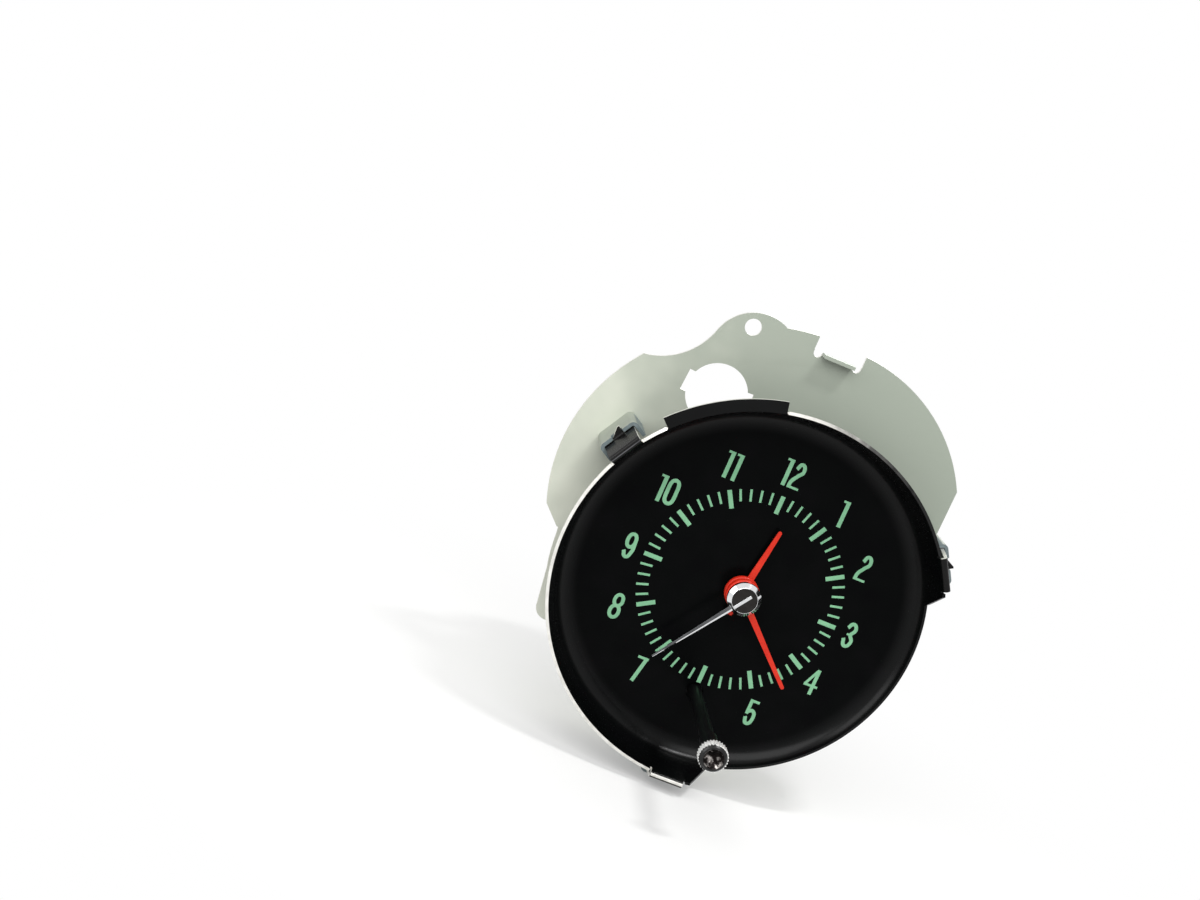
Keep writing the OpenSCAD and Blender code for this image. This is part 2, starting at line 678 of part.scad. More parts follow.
module tab_section(foot) {
    translate(root_at) rotate(rise_a) bent(concat([[rise_len, -rise_a - tab_a, fold_r]], foot), dish_t);
}
module lock_tab() {
    reach = tab_foot_r + tip_len;
    half = tip_w / 2;
    strip(tab_w) tab_section([[tab_len, 0, 0]]);
    intersection() {
        strip(tip_w) tab_section([[tab_len - trim(tab_a), tab_a, bend_r], [2 * tip_len, 0, 0]]);
        translate([0, 0, -rim_h]) linear_extrude(3 * rim_h)
            polygon([[-half, 0], [half, 0], [half, reach], [half - tip_nose, reach], [-half, tab_foot_r]]);
    }
}
module light_shield() {
    rotate([0, 0, 90 - shield_to]) rotate_extrude(angle = shield_to - shield_from, $fn = 128)
        translate([rim_r + dish_t / 4, rim_h - dish_t]) square([shield_w - dish_t / 4, dish_t]);
}
module dial_dish() {
    color("#16171a") face_on() translate([0, 0, dial_z]) difference() {
        union() {
            difference() {
                dish_bowl();
                wall_cut();
                for (a = tab_angles) clock(a) tab_gap();
            }
            light_shield();
            for (a = tab_angles) clock(a) lock_tab();
        }
        at(stem_at) cylinder_z(stem_r + stem_gap, -2 * dish_t, dish_t);
    }
}

// Zinc plate: outline, holes, bent key and three lugs
module plate_arch() {
    reach = 2 * arch_r;
    intersection() {
        union() {
            intersection() {
                translate(arch_c) circle(arch_r, $fn = 128);
                union() {
                    translate(shoulder_c) circle(arch_r - shoulder_less, $fn = 128);
                    translate(arch_c) clock(shoulder_angle) translate([0, -reach]) square([reach, 2 * reach]);
                }
            }
            intersection() {
                translate(flank_c) circle(arch_r - flank_less, $fn = 128);
                translate([flank_c[0], -reach]) square([reach, 2 * reach]);
            }
        }
        polygon([arch_corner, arch_corner + reach * [1, -1], [arch_right, -reach], [arch_right, reach],
                 [-reach, reach], arch_corner + reach * [-1, 1]]);
        translate([-reach, base_y]) square(2 * reach);
    }
}
module plate_base() {
    difference() {
        translate([0, base_y]) circle(base_r, $fn = 128);
        translate([0, step_y - base_r]) difference() {
            translate([-base_r, 0]) square([2 * base_r, base_r]);
            translate([0, base_y - step_y + base_r]) circle(base_r - step_w, $fn = 128);
        }
    }
}
module plate_wings() {
    for (s = [0, 1]) mirror([s, 0]) {
        polygon([[0, base_y], [base_r + wing_out, base_y], [wing_x, wing_low + wing_r],
                 [wing_x - wing_r, wing_low], [0, wing_low]]);
        translate([wing_x - wing_r, wing_low + wing_r]) circle(wing_r);
    }
}
module plate_notch() {
    translate([-notch_w / 2, notch_y]) square([notch_w, arch_r]);
    translate([-key_w / 2, key_y]) square([key_w, arch_r]);
    for (s = [-1, 1]) translate([s * (key_w + relief_w) / 2, 0]) {
        translate([-relief_w / 2, notch_y - relief_w / 4]) square([relief_w, relief_w]);
        translate([0, notch_y - relief_w / 4]) circle(relief_w / 2);
    }
}
module lamp_hole() {
    circle(lamp_r);
    for (a = lamp_notches) clock(a) translate([-lamp_notch_w / 2, 0])
        square([lamp_notch_w, lamp_r + lamp_notch_d]);
}
module keyhole() {
    circle(window_r);
    translate([-window_leg, stem_at[1]]) square([2 * window_leg, -stem_at[1]]);
    translate(stem_at) circle(window_leg);
}
module plate_outline() {
    difference() {
        union() {
            difference() {
                plate_arch();
                translate(hollow_c) circle(hollow_r, $fn = 96);
            }
            translate(ear_c) circle(ear_r);
            plate_base();
            plate_wings();
            for (a = tab_angles) clock(a) translate([-lug_half - plate_t, 0])
                square([2 * (lug_half + plate_t), lug_out]);
        }
        plate_notch();
        keyhole();
        translate(lamp_c) lamp_hole();
        translate(ear_c + ear_hole_off) circle(ear_hole_r);
        for (p = pillar_at) translate(p) circle(screw_r + run_fit);
        for (a = cover_angles) translate(polar(cover_screw_r, a)) circle(screw_r + fix_fit);
        for (a = tab_angles) translate(polar(spacer_at, a)) circle(rivet_r + fix_fit);
        for (s = [-1, 1]) translate(stem_at + [s * foot_x, 0]) circle(screw_r + fix_fit);
    }
}
module lug() {
    gap = tip_w / 2 + lug_clear;
    slot_z = dial_z + tab_low_h - dish_t - lug_clear;
    difference() {
        translate([0, lug_out, -plate_t]) linear_extrude(lug_top + plate_t) for (s = [0, 1]) mirror([s, 0])
            translate([-lap, 0]) bent([[lug_half + plate_t - lug_bend + lap, -90, lug_bend],
                                       [lug_return + plate_t - lug_bend, 0, 0]], plate_t);
        translate([-gap, lug_in - past, slot_z]) cube([2 * gap, plate_t + 2 * past, lug_top]);
    }
}
module mounting_plate() {
    color("#c9cfc4") face_on() {
        translate([0, 0, -plate_t]) linear_extrude(plate_t) plate_outline();
        strip(key_w) translate([key_y - plate_t, 0])
            bent([[plate_t, 90, bend_r], [key_len - bend_r, 0, 0]], plate_t);
        for (a = tab_angles) clock(a) lug();
    }
}

// Standoffs riveted to the plate, on which the dial floor rests
module dial_spacers() {
    color("silver") face_on() for (a = tab_angles) at(polar(spacer_at, a)) {
        cylinder_z(spacer_r, 0, dial_back);
        cylinder_z(rivet_r, -plate_t, 0);
    }
}

// Painted hands: a hub with a raised ring and a tapered blade with a round tip
module blade(len, root_w) {
    tip_r = tip_blade_w / 2;
    polygon(concat([[-root_w / 2, 0]], arc([0, len - tip_r], tip_r, 180, 0, 8), [[root_w / 2, 0]]));
}
module hub() {
    low = hub_t - hub_step;
    rotate_extrude() {
        square([hub_r - hub_edge, low]);
        translate([0, hub_edge]) square([hub_r, low - 2 * hub_edge]);
        for (z = [hub_edge, low - hub_edge]) translate([hub_r - hub_edge, z]) circle(hub_edge);
        square([hub_r * ring_share, hub_t]);
    }
}
module hand(len, root_w, bore) {
    difference() {
        union() {
            hub();
            translate([0, 0, (hub_t - blade_t) / 2]) linear_extrude(blade_t) blade(len, root_w);
        }
        cylinder_z(bore, -past, hub_t + past);
    }
}
module hour_hand() {
    color("#e8341c") face_on() translate([0, 0, hour_hub_z]) clock(hour_angle) {
        hand(hour_len, hour_w, hour_r + fix_fit);
        translate([-hour_w / 2, -hub_r - tail_len, (hub_t - blade_t) / 2])
            cube([hour_w, tail_len + hub_edge, blade_t]);
    }
}
module minute_hand() {
    color("#e8341c") face_on() translate([0, 0, minute_hub_z]) clock(minute_angle)
        hand(minute_len, minute_w, cannon_r + fix_fit);
}

// Plated second hand: a bevelled cap, a rib across its face and a ridged pointer
module cap() {
    face = cap_t - cap_sink;
    rotate_extrude() polygon([[0, 0], [cap_r, 0], [cap_r, cap_skirt], [cap_face_r, face],
                              [cap_face_r - cap_lip / 2, cap_t], [cap_face_r - cap_lip, face], [0, face]]);
    translate([-rib_w / 2, -cap_face_r / 2, face - lap]) cube([rib_w, cap_face_r * 5 / 4, rib_t + lap]);
}
module pointer() {
    half = pointer_root / 2;
    tip = pointer_tip / 2;
    edge = pointer_t / 3;
    intersection() {
        linear_extrude(pointer_t) polygon([[-half, 0], [half, 0], [tip, second_len], [-tip, second_len]]);
        rotate([-90, 0, 0]) linear_extrude(second_len)
            polygon([[-half, 0], [half, 0], [half, -edge], [0, -pointer_t], [-half, -edge]]);
    }
}
module second_hand() {
    color("#d8dadd") face_on() translate([0, 0, cap_z]) clock(second_angle) difference() {
        union() {
            cap();
            translate([0, 0, cap_t / 3]) pointer();
        }
        cylinder_z(arbor_r + fix_fit, -past, cap_bore);
    }
}

// Hour wheel with the tube that carries the hour hand
module hour_wheel() {
    color("goldenrod") face_on() {
        wheel(hour_n, hour_m, hour_first, hour_z, hour_in, 6);
        ring(hour_r, hour_z - wheel_t / 2, hour_hub_z + hub_t, hour_in);
        ring(hour_r + boss_out, hour_z - wheel_t / 2 - boss_t, hour_z - wheel_t / 2, hour_in);
    }
}

// Cannon pinion: the long minute tube, its pinion and the shoulder for the centre wheel
module cannon_pinion() {
    shoulder_z = centre_z + wheel_t / 2;
    color("goldenrod") face_on() difference() {
        union() {
            cylinder_z(cannon_r, centre_z - wheel_t / 2 - cannon_tail, minute_hub_z + hub_t);
            cylinder_z(cannon_r + shoulder_out, shoulder_z, shoulder_z + shoulder_t);
            pinion(cannon_n, motion_m, 0, motion_z - pinion_half, motion_z + pinion_half);
        }
        cylinder_z(cannon_in, cover_back, cap_z);
    }
}

// Minute wheel with its pinion, on the first stud
module minute_wheel() {
    color("goldenrod") face_on() at(motion_at) difference() {
        union() {
            wheel(minute_n, motion_m, minute_first, motion_z, stud_r + run_fit, 5);
            pinion(minute_pinion_n, hour_m, 0, motion_z + wheel_t / 2, hour_z + pinion_half);
        }
        cylinder_z(stud_r + run_fit, 0, dial_z);
    }
}
module set_idler() {
    color("goldenrod") face_on() at(idler_at)
        wheel(idler_n, motion_m, idler_first, motion_z, stud_r + run_fit, 0);
}

// Setting wheel, loose on the bridge's tube
module set_wheel() {
    color("goldenrod") face_on() at(stem_at) difference() {
        pinion(set_n, motion_m, set_first, set_rear, set_front);
        cylinder_z(bridge_tube_r + run_fit, 0, dial_z);
    }
}

// Strap that carries the setting wheel and the stem's front bearing
module set_bridge() {
    color("#b8bcc0") face_on() at(stem_at) difference() {
        union() {
            translate([-strap_half, -strap_w / 2, strap_z]) cube([2 * strap_half, strap_w, strap_t]);
            for (s = [0, 1]) mirror([s, 0, 0]) {
                translate([strap_half, -strap_w / 2, 0]) cube([strap_t, strap_w, strap_z + strap_t]);
                translate([strap_half, -strap_w / 2, 0]) cube([foot_end - strap_half, strap_w, strap_t]);
            }
            cylinder_z(bridge_tube_r, tube_end, strap_z + strap_t / 2);
        }
        cylinder_z(stem_r + run_fit, 0, dial_z);
        for (s = [-1, 1]) translate([s * foot_x, 0, 0]) cylinder_z(screw_r + run_fit, -past, strap_t + past);
    }
}
module bridge_screws() {
    color("silver") face_on() for (s = [-1, 1]) at(stem_at + [s * foot_x, 0])
        screw(strap_t, strap_t + plate_t);
}

// Black stem with its collar and clip groove
module set_stem() {
    color("#1b1c1f") face_on() at(stem_at) difference() {
        union() {
            cylinder_z(stem_r, clip_z - stem_tail, knob_z);
            cylinder_z(collar_r, knob_z - collar_len, knob_z);
            cylinder_z(tenon_r, knob_z, knob_z + tenon_len);
        }
        ring(stem_r + past, clip_z, clip_z + clip_t, clip_groove_r);
    }
}

// Knurled knob with a dished face
module knurl() {
    step = 360 / knurl_n;
    polygon([for (k = [0 : knurl_n - 1], s = [0, 1 / 2])
        let (r = s == 0 ? knob_r : knob_r - knurl_d, a = (k + s) * step) r * [cos(a), sin(a)]]);
}
module set_knob() {
    dish_ball = (dish_face_r ^ 2 + dish_face_d ^ 2) / (2 * dish_face_d);
    root = knob_r - knurl_d;
    color("#c8cacc") face_on() at(stem_at, knob_z) difference() {
        union() {
            linear_extrude(knob_len - bevel_h) knurl();
            translate([0, 0, knob_len - bevel_h]) cylinder(r1 = root, r2 = root - bevel_w, h = bevel_h);
        }
        translate([0, 0, knob_len - dish_face_d + dish_ball]) sphere(dish_ball);
        cylinder_z(tenon_r + fix_fit, -past, tenon_len);
    }
}

// Friction disc on the stem: pulling the stem presses it against the setting wheel
module clutch_disc() {
    color("#8a8f94") face_on() at(stem_at)
        ring(motion_m * (set_n / 2 - dedendum) - disc_gap, disc_z - disc_t, disc_z, stem_r + fix_fit);
}
module stem_clip() {
    color("silver") face_on() at(stem_at) difference() {
        ring(stem_r + clip_out, clip_z + fix_fit, clip_z + clip_t - fix_fit, clip_groove_r + fix_fit);
        translate([-clip_groove_r * clip_open, -stem_r - clip_out - past, clip_z - past])
            cube([2 * clip_groove_r * clip_open, stem_r + clip_out + past, clip_t + 2 * past]);
    }
}
module spring_cup() {
    color("silver") face_on() at(stem_at) ring(stem_r + cup_out, cup_z, cup_z + cup_t, stem_r + run_fit);
}

// Return spring, one tube swept along a helix
module stem_spring() {
    rings = 10;
    sides = 6;
    pitch = (spring_len - wire_d - 2 * clip_gap) / coil_n;
    n = coil_n * rings;
    bottom = cup_z + cup_t + wire_d / 2 + clip_gap;
    gap = pitch - wire_d;
    echo(str("least gap between coils ", gap));
    function rim(i) = [for (k = [0 : sides - 1])
        let (a = 360 * i / rings, b = 360 * k / sides, r = spring_r + wire_d / 2 * cos(b))
        [r * cos(a), r * sin(a), bottom + pitch * i / rings + wire_d / 2 * sin(b)]];
    color("#9aa0a6") face_on() at(stem_at) polyhedron(
        points = [for (i = [0 : n]) each rim(i)],
        faces = concat(
            [[for (k = [0 : sides - 1]) k]],
            [for (i = [0 : n - 1], k = [0 : sides - 1])
                let (a = i * sides + k, b = i * sides + (k + 1) % sides) [a, a + sides, b + sides, b]],
            [[for (k = [0 : sides - 1]) n * sides + sides - 1 - k]]));
}

// Brass plates: bearings for every arbor, and holes for pillars and stem
module pivots(first) {
    for (p = first) translate(p) circle(pivot_r + run_fit);
}
module front_plate() {
    color("#c9a24a") face_on() translate([0, 0, front_back]) linear_extrude(brass_t) difference() {
        circle(front_r, $fn = 128);
        circle(cannon_r + run_fit);
        pivots([third_at, inter_at, rotor_at]);
        translate(stem_at) circle(stem_r + run_fit);
        for (p = [motion_at, idler_at]) translate(p) circle(stud_r + fix_fit);
        for (p = pillar_at) translate(p) circle(screw_r + run_fit);
        for (p = post_at) translate(p) circle(post_tenon + fix_fit);
    }
}
module motion_studs() {
    head_z = motion_z + wheel_t / 2 + float_gap;
    color("silver") face_on() {
        at(motion_at) cylinder_z(stud_r, front_back, dial_back - shake);
        at(idler_at) {
            cylinder_z(stud_r, front_back, head_z + lap);
            cylinder_z(stud_r + stud_head, head_z, head_z + wheel_t / 2);
        }
        for (p = [motion_at, idler_at]) at(p)
            ring(stud_r + stud_foot, -plate_t, motion_z - wheel_t / 2 - float_gap, stud_r / 2);
    }
}
module rear_plate() {
    color("#c9a24a") face_on() translate([0, 0, rear_back]) linear_extrude(brass_t) difference() {
        circle(rear_r, $fn = 128);
        pivots([[0, 0], third_at, inter_at, rotor_at]);
        for (p = pillar_at) translate(p) circle(screw_r + run_fit);
    }
}
module pillars() {
    color("#c9a24a") face_on() for (p = pillar_at) at(p) difference() {
        cylinder_z(pillar_r, rear_z, front_back);
        cylinder_z(screw_r + fix_fit, front_back - tap_depth, front_back + past);
        cylinder_z(screw_r + fix_fit, rear_z - past, rear_z + tap_depth);
    }
}
module movement_screws() {
    color("silver") face_on() for (p = pillar_at) at(p)
        screw(0, plate_t + brass_t + tap_depth - thread_free);
}
module board_spacers() {
    color("#d9d6c8") face_on() for (p = pillar_at) at(p)
        ring(pillar_r, board_z, rear_back, screw_r + run_fit);
}
module board_screws() {
    color("silver") face_on() for (p = pillar_at) at(p) translate([0, 0, board_back]) mirror([0, 0, 1])
        screw(0, board_t + board_gap + brass_t + tap_depth - thread_free);
}

// Running train
module arbor(z0, z1) {
    cylinder_z(staff_r, z0, z1);
    cylinder_z(pivot_r, z0 - pivot_len, z1 + pivot_len);
}
module centre_wheel() {
    color("goldenrod") face_on() wheel(centre_n, centre_m, centre_first, centre_z, cannon_r + fix_fit, 6);
}
module clutch_spring() {
    z = centre_z - wheel_t / 2;
    color("#9aa0a6") face_on() {
        ring(cannon_r + clutch_rim, z - clutch_t, z, cannon_r + fix_fit);
        for (k = [0 : 2]) clock(120 * k)
            translate([-clutch_arm_w / 2, cannon_r + clutch_rim / 2, z - clutch_t])
                cube([clutch_arm_w, clutch_arm - clutch_rim / 2, clutch_t]);
    }
}
module third_wheel() {
    color("goldenrod") face_on() at(third_at) {
        wheel(third_n, third_m, third_first, third_z, staff_r - lap, 5);
        pinion(third_pinion_n, centre_m, 0, centre_z - pinion_half, centre_z + pinion_half);
        arbor(rear_z + shake, front_back - shake);
    }
}
module second_wheel() {
    color("goldenrod") face_on() {
        wheel(second_n, second_m, 0, second_z, arbor_r - lap, 5);
        pinion(second_pinion_n, third_m, 0, third_z - pinion_half, third_z + pinion_half);
        cylinder_z(arbor_r, rear_z + shake, cap_z + cap_bore - float_gap);
        cylinder_z(pivot_r, rear_z + shake - pivot_len, rear_z + 2 * shake);
    }
}
module intermediate_wheel() {
    color("goldenrod") face_on() at(inter_at) {
        wheel(inter_n, inter_m, 0, inter_z, staff_r - lap, 5);
        pinion(inter_pinion_n, second_m, inter_first, second_z - pinion_half, second_z + pinion_half);
        arbor(rear_z + shake, front_back - shake);
    }
}
module rotor_pinion() {
    half = pinion_half * rotor_share;
    color("#e6e2d6") face_on() at(rotor_at) {
        pinion(rotor_n, inter_m, rotor_first, inter_z - half, inter_z + half);
        arbor(rear_z + shake, front_back - shake);
    }
}
module rotor_magnet() {
    color("#3a3a3d") face_on() at(rotor_at)
        ring(magnet_r, magnet_z - magnet_len / 2, magnet_z + magnet_len / 2, staff_r + fix_fit);
}

// Stepping motor: stator with the rotor's hole, coil beside it
module stator() {
    color("#8f949a") face_on() at([0, 0], stator_z - stator_t / 2) linear_extrude(stator_t) difference() {
        union() {
            translate([rotor_at[0] - stator_w / 2, stator_bottom]) square([stator_w, stator_len]);
            for (y = [stator_bottom, stator_bottom + stator_len - leg_w])
                translate([coil_x - core_w / 2, y]) square([rotor_at[0] - coil_x, leg_w]);
        }
        translate(rotor_at) circle(magnet_r + rotor_air);
        for (s = [-1, 1]) translate(rotor_at + [s * (stator_w / 2 + neck_out), 0]) circle(neck_r);
        for (p = post_at) translate(p) circle(screw_r + run_fit);
    }
}
module coil_core() {
    color("#8f949a") face_on() translate([0, 0, core_z]) linear_extrude(core_t) difference() {
        translate([coil_x - core_w / 2, stator_bottom]) square([core_w, stator_len]);
        for (p = post_at) translate(p) circle(screw_r + run_fit);
    }
}
module along_coil(from, len) {
    translate([coil_x, from, core_z + core_t / 2]) rotate([-90, 0, 0]) linear_extrude(len) children();
}
module core_box(gap) { square([core_w + 2 * gap, core_t + 2 * gap], center = true); }
module coil_bobbin() {
    color("#d9d6c8") face_on() {
        for (y = [0, bobbin_len - bobbin_end]) along_coil(bobbin_from + y, bobbin_end) difference() {
            circle(coil_r + bobbin_lip);
            core_box(fix_fit);
        }
        along_coil(bobbin_from, bobbin_len) difference() {
            core_box(bobbin_wall);
            core_box(fix_fit);
        }
    }
}
module coil_winding() {
    inset = bobbin_end + winding_gap;
    color("#b5622d") face_on() along_coil(bobbin_from + inset, bobbin_len - 2 * inset) difference() {
        circle(coil_r);
        core_box(bobbin_wall + winding_gap);
    }
}
module stator_posts() {
    color("silver") face_on() for (p = post_at) at(p) difference() {
        union() {
            cylinder_z(post_r, stator_z + stator_t / 2, front_back);
            cylinder_z(post_tenon, front_back, front_z - float_gap);
        }
        cylinder_z(screw_r + fix_fit, stator_z, stator_z + stator_t / 2 + post_tap);
    }
}
module stator_screws() {
    color("silver") face_on() for (p = post_at) at(p) translate([0, 0, core_z]) mirror([0, 0, 1])
        screw(0, stator_t + core_t + post_tap - shake);
}

// Circuit board with its parts, on the rear side
module circuit_board() {
    color("#2f6b46") face_on() translate([0, 0, board_back]) linear_extrude(board_t) difference() {
        circle(board_r, $fn = 128);
        for (p = pillar_at) translate(p) circle(screw_r + run_fit);
        translate(terminal_at) square([blade_w / 2 + shake, terminal_t + shake], center = true);
    }
}
module quartz_crystal() {
    color("#c9ccd0") face_on() at(crystal_at, board_back - crystal_r) rotate([0, 90, 0])
        cylinder(r = crystal_r, h = crystal_len, center = true);
}
module timing_chip() {
    body = [chip_size[0], chip_size[1], chip_size[2] - chip_up];
    color("#222326") face_on() at(chip_at, board_back - chip_size[2]) {
        translate([-body[0] / 2, -body[1] / 2, 0]) cube(body);
        for (k = [-3 / 2 : 3 / 2], s = [0, 1]) mirror([0, s, 0])
            translate([k * lead_pitch - lead_size[0] / 2, body[1] / 2 - lap, chip_size[2] - lead_size[2]])
                cube(lead_size);
    }
}
module capacitor() {
    groove_z = board_back - groove_at - groove_w;
    color("#2b4a8a") face_on() at(capacitor_at) difference() {
        cylinder_z(capacitor_r, board_back - capacitor_h, board_back);
        ring(capacitor_r + past, groove_z, groove_z + groove_w, capacitor_r - groove_d);
    }
}

// Power blade through the cover, in an insulating bush
module power_terminal() {
    out = cover_back - terminal_len;
    color("#d4b25a") face_on() at(terminal_at) difference() {
        union() {
            translate([-blade_w / 2, -terminal_t / 2, out]) cube([blade_w, terminal_t, board_back - out]);
            translate([-blade_w / 4, -terminal_t / 2, board_back]) cube([blade_w / 2, terminal_t, board_t]);
        }
        translate([0, 0, out + blade_hole_in]) rotate([90, 0, 0])
            cylinder(r = blade_hole_r, h = 2 * terminal_t, center = true);
        for (s = [-1, 1]) translate([s * blade_w / 2, 0, out]) rotate([0, 45, 0])
            cube([blade_cut, 2 * terminal_t, blade_cut], center = true);
    }
}
module terminal_bush() {
    color("#2a2522") face_on() at(terminal_at) difference() {
        union() {
            cylinder_z(bush_r, cover_back - bush_out, cover_back);
            cylinder_z(bush_r - bush_step, cover_back, cover_back + cover_t + bush_in);
        }
        translate([0, 0, cover_back - bush_r]) linear_extrude(2 * bush_r)
            square([blade_w + 2 * fix_fit, terminal_t + 2 * fix_fit], center = true);
    }
}

// Drawn zinc cover with a rounded back and a flat flange
module rear_cover() {
    wall = cover_depth - cover_t - cover_corner - bend_r;
    color("#c2c8bf") face_on() difference() {
        union() {
            rotate_extrude($fn = 128) intersection() {
                translate([0, cover_back]) mirror([0, 1])
                    bent([[cover_r - cover_corner, -90, cover_corner], [wall, 90, bend_r],
                          [flange_w - bend_r, 0, 0]], cover_t);
                translate([0, cover_back - past]) square([2 * cover_r, cover_depth + past]);
            }
            for (a = cover_angles) at(polar(cover_screw_r, a))
                cylinder_z(cover_ear_r, -plate_t - cover_t, -plate_t);
        }
        at(terminal_at)
            cylinder_z(bush_r - bush_step + fix_fit, cover_back - past, cover_back + cover_t + past);
        for (a = cover_angles) at(polar(cover_screw_r, a))
            cylinder_z(screw_r + run_fit, -plate_t - 2 * past, 0);
    }
}
module cover_screws() {
    color("silver") face_on() for (a = cover_angles) at(polar(cover_screw_r, a))
        translate([0, 0, -plate_t - cover_t]) mirror([0, 0, 1]) screw(0, plate_t + cover_t + thread_out);
}

dial_dish();
mounting_plate();
dial_spacers();
hour_hand();
minute_hand();
second_hand();
hour_wheel();
cannon_pinion();
minute_wheel();
set_idler();
set_wheel();
set_bridge();
bridge_screws();
set_stem();
set_knob();
clutch_disc();
stem_clip();
spring_cup();
stem_spring();
front_plate();
motion_studs();
rear_plate();
pillars();
movement_screws();
board_screws();
board_spacers();
centre_wheel();
clutch_spring();
third_wheel();
second_wheel();
intermediate_wheel();
rotor_pinion();
rotor_magnet();
stator();
coil_core();
coil_bobbin();
coil_winding();
stator_posts();
stator_screws();
circuit_board();
quartz_crystal();
timing_chip();
capacitor();
power_terminal();
terminal_bush();
rear_cover();
cover_screws();
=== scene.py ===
import json
import math

import bmesh
import bpy
from mathutils import Matrix, Vector


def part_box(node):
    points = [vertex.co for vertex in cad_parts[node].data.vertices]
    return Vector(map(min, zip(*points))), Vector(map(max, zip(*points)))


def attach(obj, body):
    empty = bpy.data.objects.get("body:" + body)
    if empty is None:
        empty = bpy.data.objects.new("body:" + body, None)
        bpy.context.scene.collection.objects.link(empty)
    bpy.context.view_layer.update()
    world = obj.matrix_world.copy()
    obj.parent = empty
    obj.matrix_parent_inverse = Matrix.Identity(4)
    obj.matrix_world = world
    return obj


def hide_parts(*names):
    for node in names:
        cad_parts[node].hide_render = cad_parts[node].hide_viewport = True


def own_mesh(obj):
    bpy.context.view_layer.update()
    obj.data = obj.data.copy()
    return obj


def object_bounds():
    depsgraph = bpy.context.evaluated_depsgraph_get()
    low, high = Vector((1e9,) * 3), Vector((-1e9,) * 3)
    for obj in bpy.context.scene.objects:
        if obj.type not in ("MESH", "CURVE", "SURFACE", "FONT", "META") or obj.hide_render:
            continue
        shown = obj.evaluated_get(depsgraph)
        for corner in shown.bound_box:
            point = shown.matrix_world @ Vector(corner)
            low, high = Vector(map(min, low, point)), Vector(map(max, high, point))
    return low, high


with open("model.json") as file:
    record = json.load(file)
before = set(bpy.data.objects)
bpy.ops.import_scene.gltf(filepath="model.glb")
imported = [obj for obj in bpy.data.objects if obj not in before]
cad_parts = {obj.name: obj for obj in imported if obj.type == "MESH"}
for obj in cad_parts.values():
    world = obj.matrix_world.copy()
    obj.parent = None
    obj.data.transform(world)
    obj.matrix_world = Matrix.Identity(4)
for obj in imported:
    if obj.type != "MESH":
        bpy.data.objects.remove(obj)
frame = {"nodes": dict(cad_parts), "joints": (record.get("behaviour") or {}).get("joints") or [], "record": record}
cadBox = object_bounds()
cadNodes = frame["nodes"]
record = frame["record"]
joints = {joint["name"]: joint for joint in frame["joints"]}
bodyOf = {node: body for body, members in record["behaviour"]["bodies"].items() for node in members}
slotOf = {part["node"]: part["material_slot"] for part in record["subparts"]}
mm = 0.001
slack = 0.01  # mm or degrees that a point on a curved rim may be off
tiny = 0.001  # the same for a flat cut, in mm
hair = 1e-4  # mm, closer points are one
noiseLow, noiseHigh = 0.3, 0.7  # most of a noise lies between these
# pieces are drawn face up in mm, then stood up in the frame
toFrame = Matrix.Scale(mm, 4) @ Matrix.Rotation(math.radians(90), 4, "X")


def linear(hexColour):  # an sRGB hex colour as the shader reads it
    channels = [int(hexColour[i:i + 2], 16) / 255 for i in (1, 3, 5)]
    return [c / 12.92 if c <= 0.04045 else ((c + 0.055) / 1.055) ** 2.4 for c in channels] + [1]


def perMm(size):  # a noise's scale from the size of its patches in mm
    return 1 / (size * mm)


def addNode(tree, kind, settings={}, links={}):
    node = tree.nodes.new(kind)
    for name, value in settings.items():
        if name == "stops":  # colours of a ramp, spread over a noise's range
            while len(node.color_ramp.elements) < len(value):
                node.color_ramp.elements.new(0.5)
            for i, (element, colour) in enumerate(zip(node.color_ramp.elements, value)):
                element.position = noiseLow + (noiseHigh - noiseLow) * i / max(1, len(value) - 1)
                element.color = linear(colour)
        elif isinstance(name, int) or name in node.inputs:
            node.inputs[name].default_value = value
        else:
            setattr(node, name, value)
    for name, socket in links.items():
        tree.links.new(socket, node.inputs[name])
    return node


